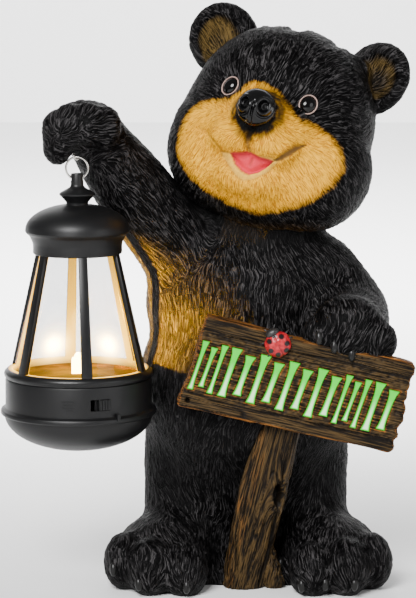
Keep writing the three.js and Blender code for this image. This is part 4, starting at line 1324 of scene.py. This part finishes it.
def led_module():
    low = DECK + CLEARANCE
    reach = rib_outer(low) - 6.0
    floor = turned("led_plate", [
        (0, low), (reach, low), (reach - 0.4, DECK + 1.6), (14, DECK + 1.8), (0, DECK + 1.8),
    ])
    amber = Finish("amber_plate", Roughness=0.6, Specular_IOR_Level=0.0, Emission_Strength=1.3)
    shade = amber.clouds(amber.place(), 9.0).ramp(0.35, 0.7)
    amber.set(Base_Color=shade.colours((0.05, 0.018, 0.0), (0.20, 0.085, 0.001)))
    lit = glow_from_lamp(amber, 15)
    amber.set(Emission_Color=lit.colours((0.03, 0.014, 0), (1, 0.54, 0.01)))
    finished(floor, "statue", "lamp", amber.material, "led_module", sharp=CREASE_ANGLE)
    lamp = block(on_axis(0, 0, DECK + 1 + 4.75), (7.6, 7.6, 9.5))
    changed(lamp, "BEVEL", width=0.6 * MM, segments=3)
    lens = egg(on_axis(0, 0, DECK + 10.5), (2.6, 2.6, 3.2))
    hot = Finish("lit_lamp", Roughness=0.4, Emission_Strength=34.0)
    hot.set(Base_Color=(1, 0.85, 0.55), Emission_Color=(1, 0.66, 0.22))
    finished(joined("led_lamp", [lamp, lens]), "statue", "lamp", hot.material, sharp=CREASE_ANGLE)


def steel():
    finish = Finish("steel_wire", Metallic=1.0, Roughness=0.2)
    finish.set(Base_Color=(0.62, 0.60, 0.56))
    return finish.material


def wires():
    metal = steel()
    ring = settled(wire_ring(6.4, WIRE_RADIUS, 72), on_axis(0, 0, 247.6), turn(90, "X"))
    ring.name = "hanging_ring"
    finished(ring, "statue", "steel_wire", metal, "hanging_ring")
    bend = wire_ring(2.4, WIRE_RADIUS, 48)
    with editing(bend):
        bpy.ops.mesh.bisect(plane_co=(0, 0, 0), plane_no=(0, 1, 0), clear_outer=True)
    aim = turn(-50, "Z") @ turn(90, "Z") @ turn(90, "X")
    parts = [settled(bend, on_axis(0, 0, 254.9), aim)]
    side = Vector((math.sin(math.radians(50)), math.cos(math.radians(50)), 0)) * 2.4
    add = bpy.ops.mesh.primitive_cylinder_add
    for sign in (-1, 1):
        leg = fresh(add, vertices=16, radius=WIRE_RADIUS * MM, depth=11.2 * MM)
        parts.append(settled(leg, on_axis(sign * side.x, sign * side.y, 260.5)))
    finished(joined("paw_eye", parts), "statue", "steel_wire", metal, "paw_eye")


lantern_cap()
lantern_frame()
lantern_glass()
lantern_base()
battery_cover()
switch_slider()
led_module()
wires()

# The floor, the light and the camera

VIEW_DROP = 8.0
VIEW_DISTANCE = 1500
VIEW_TARGET = at(-24, 0, 164)


def placed(name, data, place, aim):
    """Links a light that looks along a direction."""
    obj = bpy.data.objects.new(name, data)
    bpy.context.collection.objects.link(obj)
    obj.location = place
    obj.rotation_euler = aim.to_track_quat("-Z", "Y").to_euler()


def light(name, place, target, size, power):
    lamp = bpy.data.lights.new(name, "AREA")
    lamp.shape = "DISK"
    lamp.size = size
    lamp.energy = power
    placed(name, lamp, place, target - place)


def glow(name, aim, reach, power):
    """Part of the lamp's golden light, which falls on the cub's side."""
    lamp = bpy.data.lights.new(name, "SPOT")
    lamp.energy = power
    lamp.color = (1.0, 0.47, 0.0)
    lamp.shadow_soft_size = 0.002
    lamp.spot_size = math.radians(2 * reach)
    lamp.spot_blend = 0.9
    placed(name, lamp, on_axis(*GLOW_PLACE), Vector(aim))


def sheet(name, material, **settings):
    obj = fresh(bpy.ops.mesh.primitive_plane_add, size=8, **settings)
    obj.name = name
    obj.data.materials.append(material)
    return obj


def studio():
    paper = Finish("paper", Roughness=0.9)
    paper.set(Base_Color=(0.9, 0.9, 0.9))
    floor = sheet("floor", paper.material)
    upright = (math.pi / 2, 0, 0)
    wall = sheet("wall", paper.material, location=(0, 3.9, 2), rotation=upright)
    world = bpy.data.worlds.new("studio")
    world.use_nodes = True
    world.node_tree.nodes["Background"].inputs[0].default_value = (1, 1, 1, 1)
    world.node_tree.nodes["Background"].inputs[1].default_value = 0.29
    bpy.context.scene.world = world
    middle = at(0, 0, 170)
    light("key", at(-450, -1250, 1050), middle, 0.8, 50)
    light("fill", at(1100, -900, 500), middle, 0.9, 6)
    light("back", at(300, 1000, 900), middle, 0.7, 1.5)
    light("wall_wash", at(0, 900, 1700), at(0, 3300, 300), 1.6, 280)
    glow("belly_glow", (0.86, 0.50, 0.12), 33, 13)
    glow("arm_glow", (0.52, 0.62, 0.59), 23, 16)


def view():
    camera = bpy.data.objects.new("camera", bpy.data.cameras.new("camera"))
    bpy.context.collection.objects.link(camera)
    drop = math.radians(VIEW_DROP)
    away = Vector((0, -math.cos(drop), math.sin(drop)))
    camera.location = VIEW_TARGET + away * VIEW_DISTANCE * MM
    camera.rotation_euler = (math.radians(90 - VIEW_DROP), 0, 0)
    camera.data.lens = 150.5
    camera.data.clip_end = 20
    bpy.context.scene.camera = camera


studio()
view()
